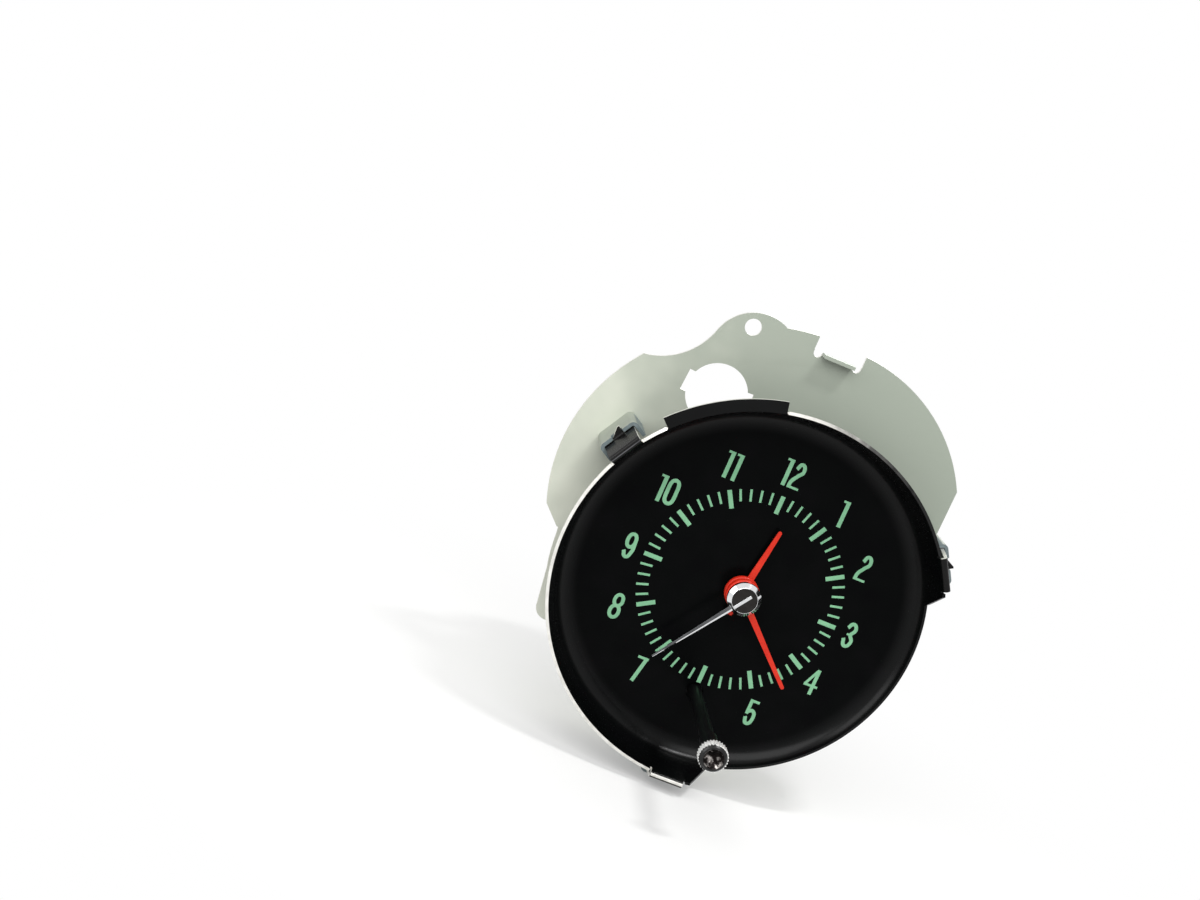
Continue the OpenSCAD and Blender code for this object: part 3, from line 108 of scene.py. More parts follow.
# a finish: its colour varies by the spread over the mottle size and along the drift, in ramps per metre,
# its roughness and bump follow the grain; mottle, grain and depth are in mm
def makeFinish(name, look):
    finish = bpy.data.materials.new(name)
    finish.use_nodes = True
    tree = finish.node_tree
    tree.nodes.clear()
    place = addNode(tree, "ShaderNodeTexCoord").outputs["Object"]
    along = addNode(tree, "ShaderNodeMapping", {"Scale": look.get("stretch", (1, 1, 1))}, {"Vector": place})
    mottle = addNode(tree, "ShaderNodeTexNoise", {"Scale": perMm(look["mottle"]), "Detail": 3},
                     {"Vector": place})
    grain = addNode(tree, "ShaderNodeTexNoise", {"Scale": perMm(look["grain"]), "Detail": 4},
                    {"Vector": along.outputs["Vector"]})
    half = look.get("spread", 1) / 2
    patch = addNode(tree, "ShaderNodeMapRange", {"To Min": 0.5 - half, "To Max": 0.5 + half},
                    {"Value": mottle.outputs["Fac"]})
    drift = addNode(tree, "ShaderNodeVectorMath",
                    {"operation": "DOT_PRODUCT", 1: look.get("drift", (0, 0, 0))}, {0: place})
    film = addNode(tree, "ShaderNodeMath", {"operation": "ADD"},
                   {0: patch.outputs["Result"], 1: drift.outputs["Value"]})
    colour = addNode(tree, "ShaderNodeValToRGB", {"stops": look["colours"]}, {"Fac": film.outputs["Value"]})
    smooth, dull = look["rough"]
    rough = addNode(tree, "ShaderNodeMapRange",
                    {"From Min": noiseLow, "From Max": noiseHigh, "To Min": smooth, "To Max": dull},
                    {"Value": grain.outputs["Fac"]})
    bump = addNode(tree, "ShaderNodeBump", {"Strength": 1, "Distance": look["depth"] * mm},
                   {"Height": grain.outputs["Fac"]})
    shader = addNode(tree, "ShaderNodeBsdfPrincipled", look["shader"],
                     {"Base Color": colour.outputs["Color"], "Roughness": rough.outputs["Result"],
                      "Normal": bump.outputs["Normal"]})
    if "gloss" in look:  # the sheen grows with the distance from the dial's axis
        gloss = look["gloss"]
        across = addNode(tree, "ShaderNodeVectorMath", {"operation": "MULTIPLY", 1: (1, 0, 1)}, {0: place})
        reach = addNode(tree, "ShaderNodeVectorMath", {"operation": "LENGTH"}, {0: across.outputs["Vector"]})
        sheen = addNode(tree, "ShaderNodeMapRange",
                        {"interpolation_type": "SMOOTHSTEP", "From Min": gloss["from"] * mm,
                         "From Max": gloss["to"] * mm, "To Min": gloss["matt"], "To Max": gloss["full"]},
                        {"Value": reach.outputs["Value"]})
        tree.links.new(sheen.outputs["Result"], shader.inputs["Specular IOR Level"])
    addNode(tree, "ShaderNodeOutputMaterial", links={"Surface": shader.outputs["BSDF"]})
    finish.diffuse_color = linear(look["colours"][0])
    return finish


# satin stove enamel, sprayed and baked: near black, matt on the dial face,
# glossier where it lies thick in the corner
enamel = makeFinish("satinStoveEnamel", {
    "colours": ("#040405", "#050606", "#070708"), "mottle": 9, "grain": 0.5, "rough": (0.2, 0.28),
    "depth": 0.003, "shader": {}, "gloss": {"from": 41, "to": 45, "matt": 0.03, "full": 0.13}})
# the same enamel on the folded tabs: a softer black with a clear sheen, the lighter black a painted light for the
# light falling on them
tabEnamel = makeFinish("tabEnamelPaintedLight", {
    "colours": ("#080808", "#100f0f"), "mottle": 4, "grain": 0.4, "rough": (0.18, 0.3), "depth": 0.004,
    "shader": {"Specular IOR Level": 0.16}})
# sheared sheet edge: bare steel left by the press tool, bright and finely scored
bareEdge = makeFinish("shearedSteelEdge", {
    "colours": ("#d8d6d0", "#efeee9"), "mottle": 2, "grain": 0.25, "rough": (0.3, 0.5), "depth": 0.01,
    "shader": {"Metallic": 0.85}})
# the same edge where the enamel ran over it: bare at the left, covered towards the right
coveredEdge = makeFinish("overSprayedEdge", {
    "colours": ("#d8d6d0", "#d3d1cb", "#bab8b3", "#4a4948", "#0c0c0c"), "mottle": 2, "spread": 0.15,
    "drift": (8, 0, 0), "grain": 0.25, "rough": (0.3, 0.5), "depth": 0.01, "shader": {"Metallic": 0.5}})
# zinc plate with a clear chromate: pale grey-green metal, faint rolling grain; its colour drifts darker towards
# the right and the top, a painted shade for how the light falls on the plate
zinc = makeFinish("zincChromatePlate", {
    "colours": ("#d6d9cc", "#d6d9cb", "#c0c5b7", "#a4ab9e", "#9ea699"), "mottle": 22, "spread": 0.3,
    "drift": (2.4, 0, 3.2), "grain": 0.35, "stretch": (0.12, 1, 1), "rough": (0.42, 0.52), "depth": 0.002,
    "shader": {"Metallic": 0.2}})
# the same plating on the back of a lug, a shade darker: a painted shade
lugBackShade = makeFinish("shadedLugBack", {
    "colours": ("#8c9288", "#969c91"), "mottle": 6, "grain": 0.35, "rough": (0.45, 0.55), "depth": 0.003,
    "shader": {"Metallic": 0.15}})
# the same plating on a sheared lug's sides: duller, bluish grey, a painted shade
lugSideShade = makeFinish("shadedLugSide", {
    "colours": ("#687476", "#768284"), "mottle": 2, "grain": 0.3, "rough": (0.4, 0.55), "depth": 0.004,
    "shader": {"Metallic": 0.3}})
# red signal lacquer on stamped hands: smooth, slightly uneven gloss
redLacquer = makeFinish("redLacquer", {
    "colours": ("#c42616", "#d23421"), "mottle": 5, "grain": 0.3, "rough": (0.24, 0.36), "depth": 0.003,
    "shader": {"Specular IOR Level": 0.22}})
# screen-printed ink: pale green, flat, with a faint mesh unevenness
mintInk = makeFinish("screenPrintInk", {
    "colours": ("#74ac85", "#80b790"), "mottle": 3, "grain": 0.15, "rough": (0.5, 0.7), "depth": 0.004,
    "shader": {"Specular IOR Level": 0.3}})
# chrome plate: mirror bright, a trace of polishing haze
chrome = makeFinish("chromePlate", {
    "colours": ("#d6d8da", "#e2e3e4"), "mottle": 4, "grain": 0.2, "rough": (0.04, 0.09), "depth": 0.0005,
    "shader": {"Metallic": 1}})
# the cap's face: spun chrome with fine lines, its dark grey a painted dark reflection
capFacePaintedReflection = makeFinish("capFaceDarkReflection", {
    "colours": ("#2c2a29", "#363433"), "mottle": 2, "grain": 0.16, "stretch": (0.06, 1, 1),
    "rough": (0.16, 0.3), "depth": 0.004, "shader": {"Metallic": 1}})
# dull grey metal: a painted dark reflection on the pointer's upper flank and a painted highlight on one tab's fold
# crest
greyPaintedReflection = makeFinish("greyPaintedReflection", {
    "colours": ("#4c4d4f", "#6c6d6f"), "mottle": 5, "grain": 0.2, "rough": (0.15, 0.25), "depth": 0.002,
    "shader": {"Metallic": 1}})
# frosted nickel: the knob's knurl, bright without mirroring
frostedNickel = makeFinish("frostedNickel", {
    "colours": ("#dededc", "#f0f0ee"), "mottle": 1, "grain": 0.15, "rough": (0.35, 0.5), "depth": 0.003,
    "shader": {"Metallic": 0.35}})
# the knob's front bevel: nickel with turning marks, its dark grey a painted dark reflection
knobBevelPaintedReflection = makeFinish("knobBevelPaintedReflection", {
    "colours": ("#2a2a2a", "#3c3c3c"), "mottle": 1.5, "grain": 0.2, "rough": (0.25, 0.4), "depth": 0.004,
    "shader": {"Metallic": 1}})
# chrome in the knob's hollow: uneven dark and bright patches, painted reflections and painted glints
hollowPaintedReflections = makeFinish("knobHollowPaintedReflections", {
    "colours": ("#0c0a0a", "#1c1918", "#b8b2ae"), "mottle": 1.5, "grain": 1.6, "rough": (0.03, 0.08),
    "depth": 0.4, "shader": {"Metallic": 1}})
# nickel plate over turned brass: warmer and softer than chrome
nickel = makeFinish("nickelPlate", {
    "colours": ("#c2beb6", "#d2cfc8"), "mottle": 2, "grain": 0.2, "rough": (0.12, 0.24), "depth": 0.002,
    "shader": {"Metallic": 1}})
# oil-blackened steel: dark, slightly glossy, streaked along the turning; also laid on the set bridge as a painted
# shade
stemBlack = makeFinish("blackenedSteel", {
    "colours": ("#060607", "#0a0a0b"), "mottle": 3, "grain": 0.3, "stretch": (1, 0.1, 1),
    "rough": (0.28, 0.45), "depth": 0.003, "shader": {"Specular IOR Level": 0.12}})
# rolled clock brass: yellow metal with a fine straight grain
brass = makeFinish("rolledBrass", {
    "colours": ("#b98f45", "#c79d52"), "mottle": 8, "grain": 0.25, "stretch": (0.15, 1, 1),
    "rough": (0.24, 0.36), "depth": 0.003, "shader": {"Metallic": 1}})
# turned steel: mid grey metal with tool marks
turnedSteel = makeFinish("turnedSteel", {
    "colours": ("#a9abad", "#b9bbbd"), "mottle": 3, "grain": 0.2, "stretch": (1, 0.2, 1),
    "rough": (0.2, 0.34), "depth": 0.003, "shader": {"Metallic": 1}})
# hard-drawn spring wire: darker steel, drawn along its length
springSteel = makeFinish("springWire", {
    "colours": ("#75777a", "#85878a"), "mottle": 3, "grain": 0.2, "rough": (0.25, 0.4), "depth": 0.002,
    "shader": {"Metallic": 1}})
# sintered ferrite: dull dark grey, grainy
ferrite = makeFinish("sinteredFerrite", {
    "colours": ("#29292b", "#333335"), "mottle": 1.5, "grain": 0.12, "rough": (0.6, 0.8), "depth": 0.01,
    "shader": {}})
# moulded nylon: waxy off-white
nylon = makeFinish("mouldedNylon", {
    "colours": ("#d8d2bd", "#e1dcc9"), "mottle": 6, "grain": 0.3, "rough": (0.35, 0.5), "depth": 0.003,
    "shader": {}})
# enamelled winding wire: copper-brown, the turns drawn as bands across the coil
windingWire = makeFinish("windingWire", {
    "colours": ("#94491e", "#b8683a"), "mottle": 2, "grain": 0.45, "stretch": (0.05, 0.05, 1),
    "rough": (0.2, 0.4), "depth": 0.06, "shader": {"Metallic": 0.6}})
# glass-fibre board under solder mask: dark green, faint weave
boardMask = makeFinish("solderMaskBoard", {
    "colours": ("#17512f", "#1f6039"), "mottle": 2.5, "grain": 0.5, "rough": (0.25, 0.4), "depth": 0.006,
    "shader": {}})
# drawn tin can of a crystal: pale, smooth
tinCan = makeFinish("drawnTinCan", {
    "colours": ("#c3c5c6", "#d0d2d3"), "mottle": 3, "grain": 0.3, "rough": (0.18, 0.3), "depth": 0.002,
    "shader": {"Metallic": 1}})
# moulded epoxy: matt black with a fine grit
epoxy = makeFinish("mouldedEpoxy", {
    "colours": ("#1a1b1d", "#232426"), "mottle": 2, "grain": 0.15, "rough": (0.5, 0.7), "depth": 0.006,
    "shader": {}})
# shrink sleeve: smooth dark blue plastic film
shrinkSleeve = makeFinish("shrinkSleeve", {
    "colours": ("#1c3570", "#24417f"), "mottle": 4, "grain": 0.4, "rough": (0.2, 0.35), "depth": 0.003,
    "shader": {}})
# paper-filled phenolic: dark brown, dull, faintly fibrous
phenolic = makeFinish("phenolicBush", {
    "colours": ("#2b1d14", "#3a281b"), "mottle": 1.5, "grain": 0.25, "rough": (0.4, 0.6), "depth": 0.005,
    "shader": {}})

finishOf = {
    "black_enamel": enamel, "zinc_steel": zinc, "red_paint": redLacquer, "chrome": chrome, "nickel": nickel,
    "stem_black": stemBlack, "brass": brass, "steel": turnedSteel, "spring_steel": springSteel,
    "magnet": ferrite, "nylon": nylon, "copper_wire": windingWire, "board": boardMask, "crystal_can": tinCan,
    "chip": epoxy, "capacitor_sleeve": shrinkSleeve, "bush": phenolic}
# parts painted black as shade where they show in a dark gap
inShadeBlack = ("set_bridge",)  # shows in the gap round the stem, which is dark
for name, node in cadNodes.items():
    node.data.materials.clear()
    node.data.materials.append(stemBlack if name in inShadeBlack else finishOf[slotOf[name]])
print("finishes:", len(finishOf))


def linkPiece(name, mesh, finishes, node, sharp=32):
    for finish in finishes:
        mesh.materials.append(finish)
    mesh.shade_smooth()
    mesh.set_sharp_from_angle(angle=math.radians(sharp))
    piece = bpy.data.objects.new(name, mesh)
    bpy.context.scene.collection.objects.link(piece)
    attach(piece, bodyOf[node])
    return piece


def meshOf(name, bm, place=toFrame):
    bmesh.ops.transform(bm, matrix=place, verts=bm.verts)
    mesh = bpy.data.meshes.new(name)
    bm.to_mesh(mesh)
    bm.free()
    return mesh


# rounds the edges that turn more than the angle, by a width in mm
def softenEdges(piece, width, segments=2, angle=35):
    bevel = piece.modifiers.new("edges", "BEVEL")
    bevel.width = width * mm
    bevel.segments = segments
    bevel.limit_method = "ANGLE"
    bevel.angle_limit = math.radians(angle)
    bevel.harden_normals = True


def onClock(angle):  # turns +y to a clock angle, clockwise from 12
    return Matrix.Rotation(math.radians(-angle), 4, "Z")


def clockAngle(point):
    return math.degrees(math.atan2(point[0], point[1]))


def cutAlong(bm, faces, point, normal):
    geom = set(faces)
    for face in faces:
        geom.update(face.verts)
        geom.update(face.edges)
    bmesh.ops.bisect_plane(bm, geom=list(geom), dist=hair, plane_co=point, plane_no=normal)


def facesWhere(bm, test):
    return [face for face in bm.faces if test(face.calc_center_median())]


def edgesWhere(bm, test):
    return [edge for edge in bm.edges if all(test(vert.co) for vert in edge.verts)]


def pullEdges(bm, edges, place):
    made = bmesh.ops.extrude_edge_only(bm, edges=edges)["geom"]
    verts = {vert for vert in made if isinstance(vert, bmesh.types.BMVert)}
    for vert in verts:
        vert.co = place(vert.co)
    return [edge for edge in made if isinstance(edge, bmesh.types.BMEdge) and set(edge.verts) <= verts]


# finishes of the dish's faces, each followed by that of the sheet's cut edge there; the wall has the first
dishFinishes = (enamel, bareEdge, enamel, enamel, tabEnamel, bareEdge, enamel, coveredEdge, greyPaintedReflection)
dishFaces = {"painted": 2, "tab": 4, "brightFoldHighlight": 5, "sprayed": 6, "greyFoldHighlight": 8}

# pressed dial dish, drawn with the dial face at z 0: lengths in mm, angles in degrees clockwise from 12,
# a reach is the angle to either side that a cut or finish may take
dish = {
    "dialZ": 8, "sheet": 0.8, "floorR": 42.3, "flatRing": 1.2, "cornerR": 5, "rimR": 49, "rimH": 11.5,
    "lowH": 3, "cutFrom": 73.9, "cutTo": 164.7, "cutSlope": 31, "cutReach": 9.5, "cutOut": 0.2,
    "handHole": 2.8, "stemHole": 2.3, "stemY": joints["stem_turn"]["pos_m"][2] / mm,
    "shieldFrom": -46.8, "shieldTo": -12.5, "shieldW": 3.1, "shieldBend": 0.35, "shieldReach": 10,
    "tabs": (-60, 59, 180), "tabW": 8.8, "tabOut": 0.25, "tabReach": 7, "slit": 0.5, "slitD": 0.9,
    "foldH": 0.5, "foldR": 0.96, "rootOut": 0.05, "footR": 51.8, "footH": 3.2, "bendR": 0.5,
    "tipW": 3, "tipLen": 2.1, "tipNose": 0.5, "tipRoot": 0.05,
    # a tab's angle, how level the crest of its fold must face to take a painted highlight, and that highlight's
    # finish
    "foldHighlights": {-60: (0.996, "greyFoldHighlight"), 180: (0.9, "brightFoldHighlight")},
    # parts of the wall whose cut edge is covered: angles from and to, and their finish
    "coveredEdges": ((-12.5, 64.5, "sprayed"), (64.5, 83.5, "painted"), (155, 174.5, "painted")),
    "spinSteps": 240, "cornerSteps": 12, "foldSteps": 10, "holeSteps": 64, "weld": 0.005, "edgeR": 0.07}


def tabTurn(point):  # degrees from the nearest lock tab
    return min(abs((clockAngle(point) - angle + 180) % 360 - 180) for angle in dish["tabs"])


def wallFlare():  # the wall leaves the corner at the angle that brings it to the rim
    run = Vector((dish["rimR"] - dish["floorR"], dish["rimH"] - dish["cornerR"]))
    return math.acos(dish["cornerR"] / run.length) - math.atan2(run.y, run.x)


def dishWall(bm):
    flare = wallFlare()
    inner = bm.verts.new((dish["floorR"] - dish["flatRing"], 0, 0))
    start = bmesh.ops.extrude_vert_indiv(bm, verts=[inner])["verts"]
    start[0].co = (dish["floorR"], 0, 0)
    corner = bmesh.ops.spin(bm, geom=start, cent=(dish["floorR"], 0, dish["cornerR"]), axis=(0, -1, 0),
                            angle=math.pi / 2 - flare, steps=dish["cornerSteps"])
    last = [item for item in corner["geom_last"] if isinstance(item, bmesh.types.BMVert)]
    rim = bmesh.ops.extrude_vert_indiv(bm, verts=last)["verts"]
    rim[0].co = (dish["rimR"], 0, dish["rimH"])
    bmesh.ops.spin(bm, geom=bm.verts[:] + bm.edges[:], cent=(0, 0, 0), axis=(0, 0, 1), angle=2 * math.pi,
                   steps=dish["spinSteps"], use_merge=True)


def dishFloor(bm):
    for radius, y in ((dish["handHole"], 0), (dish["stemHole"], dish["stemY"])):
        bmesh.ops.create_circle(bm, cap_ends=False, radius=radius, segments=dish["holeSteps"],
                                matrix=Matrix.Translation((0, y, 0)))
    reach = dish["floorR"] - dish["flatRing"] / 2
    loops = edgesWhere(bm, lambda co: co.length < reach)
    for face in bmesh.ops.triangle_fill(bm, edges=loops, use_beauty=True)["geom"]:
        if isinstance(face, bmesh.types.BMFace):
            face.material_index = dishFaces["painted"]


# bends a strap's end edges on in the y-z plane: heading and turn are degrees from +y towards +z
def bendEdges(bm, edges, heading, radius, turn, steps=6):
    start = edges[0].verts[0].co
    side = math.radians(heading + math.copysign(90, turn))
    centre = (0, start.y + radius * math.cos(side), start.z + radius * math.sin(side))
    verts = list({vert for edge in edges for vert in edge.verts})
    bent = bmesh.ops.spin(bm, geom=verts + edges, cent=centre, axis=(1, 0, 0), angle=math.radians(turn),
                          steps=steps)
    return [item for item in bent["geom_last"] if isinstance(item, bmesh.types.BMEdge)]


def straightOn(bm, edges, heading, length):
    step = Vector((0, math.cos(math.radians(heading)), math.sin(math.radians(heading)))) * length
    return pullEdges(bm, edges, lambda co: co + step)


# one lock tab at the top of the drawing: the wall goes on past the rim, folds over it and runs down outside
def lockTab(bm):
    half, tip = dish["tabW"] / 2, dish["tipW"] / 2
    low = dish["rimH"] - dish["slitD"]
    flare = wallFlare()
    rise = 90 - math.degrees(flare)
    fold = dish["foldR"]
    end = Vector((dish["rimR"] + dish["rootOut"],
                  dish["rimH"] + dish["foldH"] - fold * (1 - math.sin(flare))))
    end.x -= (dish["rimH"] - end.y) * math.tan(flare)
    foot = Vector((dish["footR"], dish["footH"])) - end - fold * Vector((math.cos(flare), -math.sin(flare)))
    fall = math.degrees(math.asin(fold / foot.length) - math.atan2(foot.y, foot.x))
    length = math.sqrt(foot.length ** 2 - fold ** 2)
    trim = dish["bendR"] * math.tan(math.radians(fall / 2))

    def near(c):
        return abs(c.x) < dish["tabW"] and c.y > dish["floorR"] and c.z > dish["cornerR"]

    def onHem(co):
        return near(co) and abs(co.x) < half + tiny and abs(co.z - low) < tiny

    for x in (-half - dish["slit"], -half, -tip, tip - dish["tipNose"], tip, half, half + dish["slit"]):
        cutAlong(bm, facesWhere(bm, near), (x, 0, 0), (1, 0, 0))
    cutAlong(bm, facesWhere(bm, near), (0, 0, low), (0, 0, 1))
    gone = facesWhere(bm, lambda c: near(c) and abs(c.x) < half + dish["slit"] and c.z > low)
    bmesh.ops.delete(bm, geom=gone, context="FACES")
    hem = [edge for edge in edgesWhere(bm, onHem) if edge.is_boundary]
    hem = pullEdges(bm, hem, lambda co: Vector((co.x, end.x, end.y)))
    hem = bendEdges(bm, hem, rise, fold, -rise - fall, steps=dish["foldSteps"])
    hem = straightOn(bm, hem, -fall, length - trim)
    tongue = [edge for edge in hem if all(abs(vert.co.x) < tip + tiny for vert in edge.verts)]
    straightOn(bm, [edge for edge in hem if edge not in tongue], -fall, trim)
    tongue = bendEdges(bm, tongue, -fall, dish["bendR"], fall)
    root = tongue[0].verts[0].co.y + dish["tipRoot"]
    reach = dish["footR"] + dish["tipLen"]
    slant = (reach - root) / (2 * tip - dish["tipNose"])
    pullEdges(bm, tongue, lambda co: Vector((co.x, min(reach, root + slant * (co.x + tip)), co.z)))


# a lip that goes on outwards from the rim, bent out of the wall
def lightShield(bm):
    first, last = dish["shieldFrom"], dish["shieldTo"]

    def onRim(co):
        level = abs(co.z - dish["rimH"]) < tiny and abs(co.xy.length - dish["rimR"]) < slack
        return level and first - slack < clockAngle(co) < last + slack

    for angle in (first, last):
        wall = facesWhere(bm, lambda c: c.z > dish["cornerR"]
                          and abs(clockAngle(c) - angle) < dish["shieldReach"])
        cutAlong(bm, wall, (0, 0, 0), onClock(angle) @ Vector((1, 0, 0)))
    rim = edgesWhere(bm, onRim)
    grow = 1 + dish["shieldW"] / dish["rimR"]
    pullEdges(bm, rim, lambda co: Vector((co.x * grow, co.y * grow, co.z)))
    bmesh.ops.bevel(bm, geom=rim, offset=dish["shieldBend"], offset_type="OFFSET", segments=3, profile=0.5,
                    affect="EDGES", material=-1)


# the low part of the wall, where its edge is painted with the rest
def lowSector(bm):
    slope = math.radians(dish["cutSlope"])
    ends = [onClock(dish["cutFrom"]) @ Vector((math.cos(slope), 0, math.sin(slope))),
            onClock(dish["cutTo"]) @ Vector((-math.cos(slope), 0, math.sin(slope)))]
    first, last = dish["cutFrom"] - dish["cutReach"], dish["cutTo"] + dish["cutReach"]

    def near(c):
        inWall = c.z > tiny and c.xy.length < dish["rimR"] + dish["cutOut"]
        return inWall and first < clockAngle(c) < last

    cutAlong(bm, facesWhere(bm, near), (0, 0, dish["lowH"]), (0, 0, 1))
    for normal in ends:
        cutAlong(bm, facesWhere(bm, near), (0, 0, 0), normal)
    low = facesWhere(bm, lambda c: near(c) and all(normal.dot(c) > 0 for normal in ends))
    for face in low:
        face.material_index = dishFaces["painted"]
    gone = [face for face in low if face.calc_center_median().z > dish["lowH"]]
    bmesh.ops.delete(bm, geom=gone, context="FACES")


def buildDish():
    bm = bmesh.new()
    dishWall(bm)
    dishFloor(bm)
    for angle in dish["tabs"]:
        bmesh.ops.transform(bm, matrix=onClock(-angle), verts=bm.verts)
        lockTab(bm)
        bmesh.ops.transform(bm, matrix=onClock(angle), verts=bm.verts)
    lightShield(bm)
    lowSector(bm)
    bmesh.ops.remove_doubles(bm, verts=bm.verts, dist=dish["weld"])
    bmesh.ops.recalc_face_normals(bm, faces=bm.faces)
    if sum(face.normal.z * face.calc_area() for face in bm.faces) < 0:
        bmesh.ops.reverse_faces(bm, faces=bm.faces)
    for first, last, look in dish["coveredEdges"]:
        for face in facesWhere(bm, lambda c: c.z > dish["lowH"] and first < clockAngle(c) < last):
            face.material_index = dishFaces[look]
    outside = dish["rimR"] + dish["tabOut"]
    # fold crests facing upwards take a painted highlight: bright steel on the bottom tab, grey on the upper left
    # one
    for face in facesWhere(bm, lambda c: c.xy.length > outside and tabTurn(c) < dish["tabReach"]):
        c = face.calc_center_median()
        nearest = max(dish["tabs"], key=lambda angle: c.dot(onClock(angle) @ Vector((0, 1, 0))))
        level, look = dish["foldHighlights"].get(nearest, (1, "tab"))
        crest = c.z > dish["rimH"] and face.normal.z > level
        face.material_index = dishFaces[look if crest else "tab"]
    bmesh.ops.translate(bm, vec=(0, 0, dish["dialZ"]), verts=bm.verts)
    piece = linkPiece("dialDish", meshOf("dialDish", bm), dishFinishes, "dial_dish", sharp=40)
    wall = piece.modifiers.new("sheet", "SOLIDIFY")
    wall.thickness = dish["sheet"] * mm
    wall.offset = -1
    wall.material_offset_rim = 1  # a face's cut edge takes the next finish
    softenEdges(piece, dish["edgeR"], angle=50)
    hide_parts("dial_dish")
    print("dial dish built")


buildDish()

# dial print, in mm on the dial face: each stroke is a shape, a width and its middle line
dialPrint = {
    "film": 0.05, "majorTick": (21.8, 26.65, 1.15), "minorTick": (23.46, 26.64, 0.6),
    "numbers": {  # middle of each number, then its digits and how far each stands from that middle
        12: ((-0.2, 32.8), (("1", -1.4), ("2", 1.25))), 1: ((15.6, 28.1), (("1", 0.44),)),
        2: ((26.8, 17.2), (("2", 0),)), 3: ((30.85, -0.45), (("3", 0),)), 4: ((27.3, -15.5), (("4", 0),)),
        5: ((15.95, -29.2), (("5", 0),)), 7: ((-15.65, -29.05), (("7", 0),)),
        8: ((-27.65, -15.55), (("8", 0),)), 9: ((-30.8, 0.4), (("9", 0),)),
        10: ((-27.6, 17.1), (("1", -1.54), ("0", 1.06))),
        11: ((-15.2, 29.0), (("1", -0.9), ("1", 1.43)))},
    "digits": {
        "0": (("ring", 0.98, ((0, 3.12), (1.15, 0), (0, -3.12), (-1.15, 0))),),
        "1": (("line", 1.05, ((0, -3.54), (0, 3.54))), ("line", 0.6, ((-1.3, 3.24), (0.4, 3.24)))),
        "2": (("curve", 0.95,
               ((-0.83, 1.56), (0.1, 3.12), (1.08, 1.6), (0.1, -0.02), (-1, -1.9), (-1.1, -3.5))),
              ("line", 0.6, ((-1.58, -3.24), (1.58, -3.24)))),
        "3": (("curve", 0.95, ((-1.1, 1.75), (-0.05, 3.1), (1, 1.95), (0.2, 0.15))),
              ("line", 0.55, ((-0.75, 0.1), (0.4, 0.1))),
              ("curve", 0.95, ((0.2, 0.05), (1.1, -1.6), (-0.02, -3.1), (-1.12, -1.2)))),
        "4": (("line", 0.72, ((0.42, 3.4), (-1.62, -1.1))), ("line", 0.64, ((-1.95, -1.15), (1.85, -1.15))),
              ("line", 0.95, ((0.55, -3.54), (0.55, 3.54)))),
        "5": (("line", 0.72, ((-1.4, 3.18), (1.15, 3.18))), ("line", 0.9, ((-0.95, 3.5), (-0.95, -0.6))),
              ("curve", 0.95, ((-0.7, 0.2), (0.25, 0.62), (1.08, -1.25), (0.05, -3.1), (-0.98, -1.4)))),
        "7": (("line", 0.68, ((-1.5, 3.2), (1.42, 3.2))), ("line", 1.0, ((0.92, 3.5), (-0.54, -3.54)))),
        "8": (("ring", 0.92, ((0, 3.1), (1.05, 1.6), (0, 0.1), (-1.05, 1.6))),
              ("ring", 0.95, ((0, 0.1), (1.13, -1.5), (0, -3.1), (-1.13, -1.5)))),
        "9": (("ring", 0.95, ((0, 3.1), (1.04, 1.4), (0, -0.4), (-1.04, 1.4))),
              ("curve", 0.95, ((1.04, 1.4), (1.04, -1.5), (0.05, -3.1), (-0.98, -1.6))))}}


def addStroke(curve, stroke, place):
    kind, width, points = stroke
    spline = curve.splines.new("BEZIER")
    spline.bezier_points.add(len(points) - 1)
    spline.use_cyclic_u = kind == "ring"
    for point, (x, y) in zip(spline.bezier_points, points):
        point.co = place @ Vector((x, y, 0))
        point.handle_left_type = point.handle_right_type = "VECTOR" if kind == "line" else "AUTO"
        point.radius = width


def buildDialPrint():
    curve = bpy.data.curves.new("dialPrint", "CURVE")
    curve.dimensions = "3D"
    curve.bevel_depth = 0.5  # a radius of 1 on a point is a stroke of 1 mm
    curve.bevel_resolution = 2
    curve.resolution_u = 10
    curve.use_fill_caps = True
    for minute in range(60):
        inner, outer, width = dialPrint["minorTick" if minute % 5 else "majorTick"]
        addStroke(curve, ("line", width, ((0, inner), (0, outer))), onClock(minute * 360 / 60))
    for middle, digits in dialPrint["numbers"].values():
        for digit, shift in digits:
            for stroke in dialPrint["digits"][digit]:
                addStroke(curve, stroke, Matrix.Translation((middle[0] + shift, middle[1], 0)))
    drawn = bpy.data.objects.new("dialPrintCurve", curve)
    bpy.context.scene.collection.objects.link(drawn)
    bpy.context.view_layer.update()
    bm = bmesh.new()
    bm.from_mesh(drawn.to_mesh())
    bpy.data.objects.remove(drawn)
    bmesh.ops.scale(bm, vec=(1, 1, dialPrint["film"]), verts=bm.verts)  # pressed flat to a film of ink
    bmesh.ops.translate(bm, vec=(0, 0, dish["dialZ"]), verts=bm.verts)
    linkPiece("dialPrint", meshOf("dialPrint", bm), (mintInk,), "dial_dish", sharp=60)
    print("dial print built")


buildDialPrint()

# chrome second hand: a bevelled cap with a bright bar and a face painted dark as a reflection, a pointer with a
# ridge; flank is how far the side of the pointer that takes a painted dark reflection looks aside and up
secondHand = {
    "z": 14.3, "angle": -144.9, "boreR": 0.6, "capR": 4.35, "skirt": 0.88, "faceR": 3.25, "faceZ": 1.93,
    "edge": 0.1, "capSteps": 96, "barW": 0.8, "barFrom": -2, "barTo": 3.2, "barZ": 2.2, "barSink": 0.1,
    "root": 1.5, "tip": 0.5, "start": 2, "length": 27.1, "low": 0.8, "side": 1.3, "ridge": 1.5,
    "ridgeX": -0.15, "flank": (0.1, 0.2), "edgeR": 0.04, "finishes": (chrome, capFacePaintedReflection, greyPaintedReflection)}


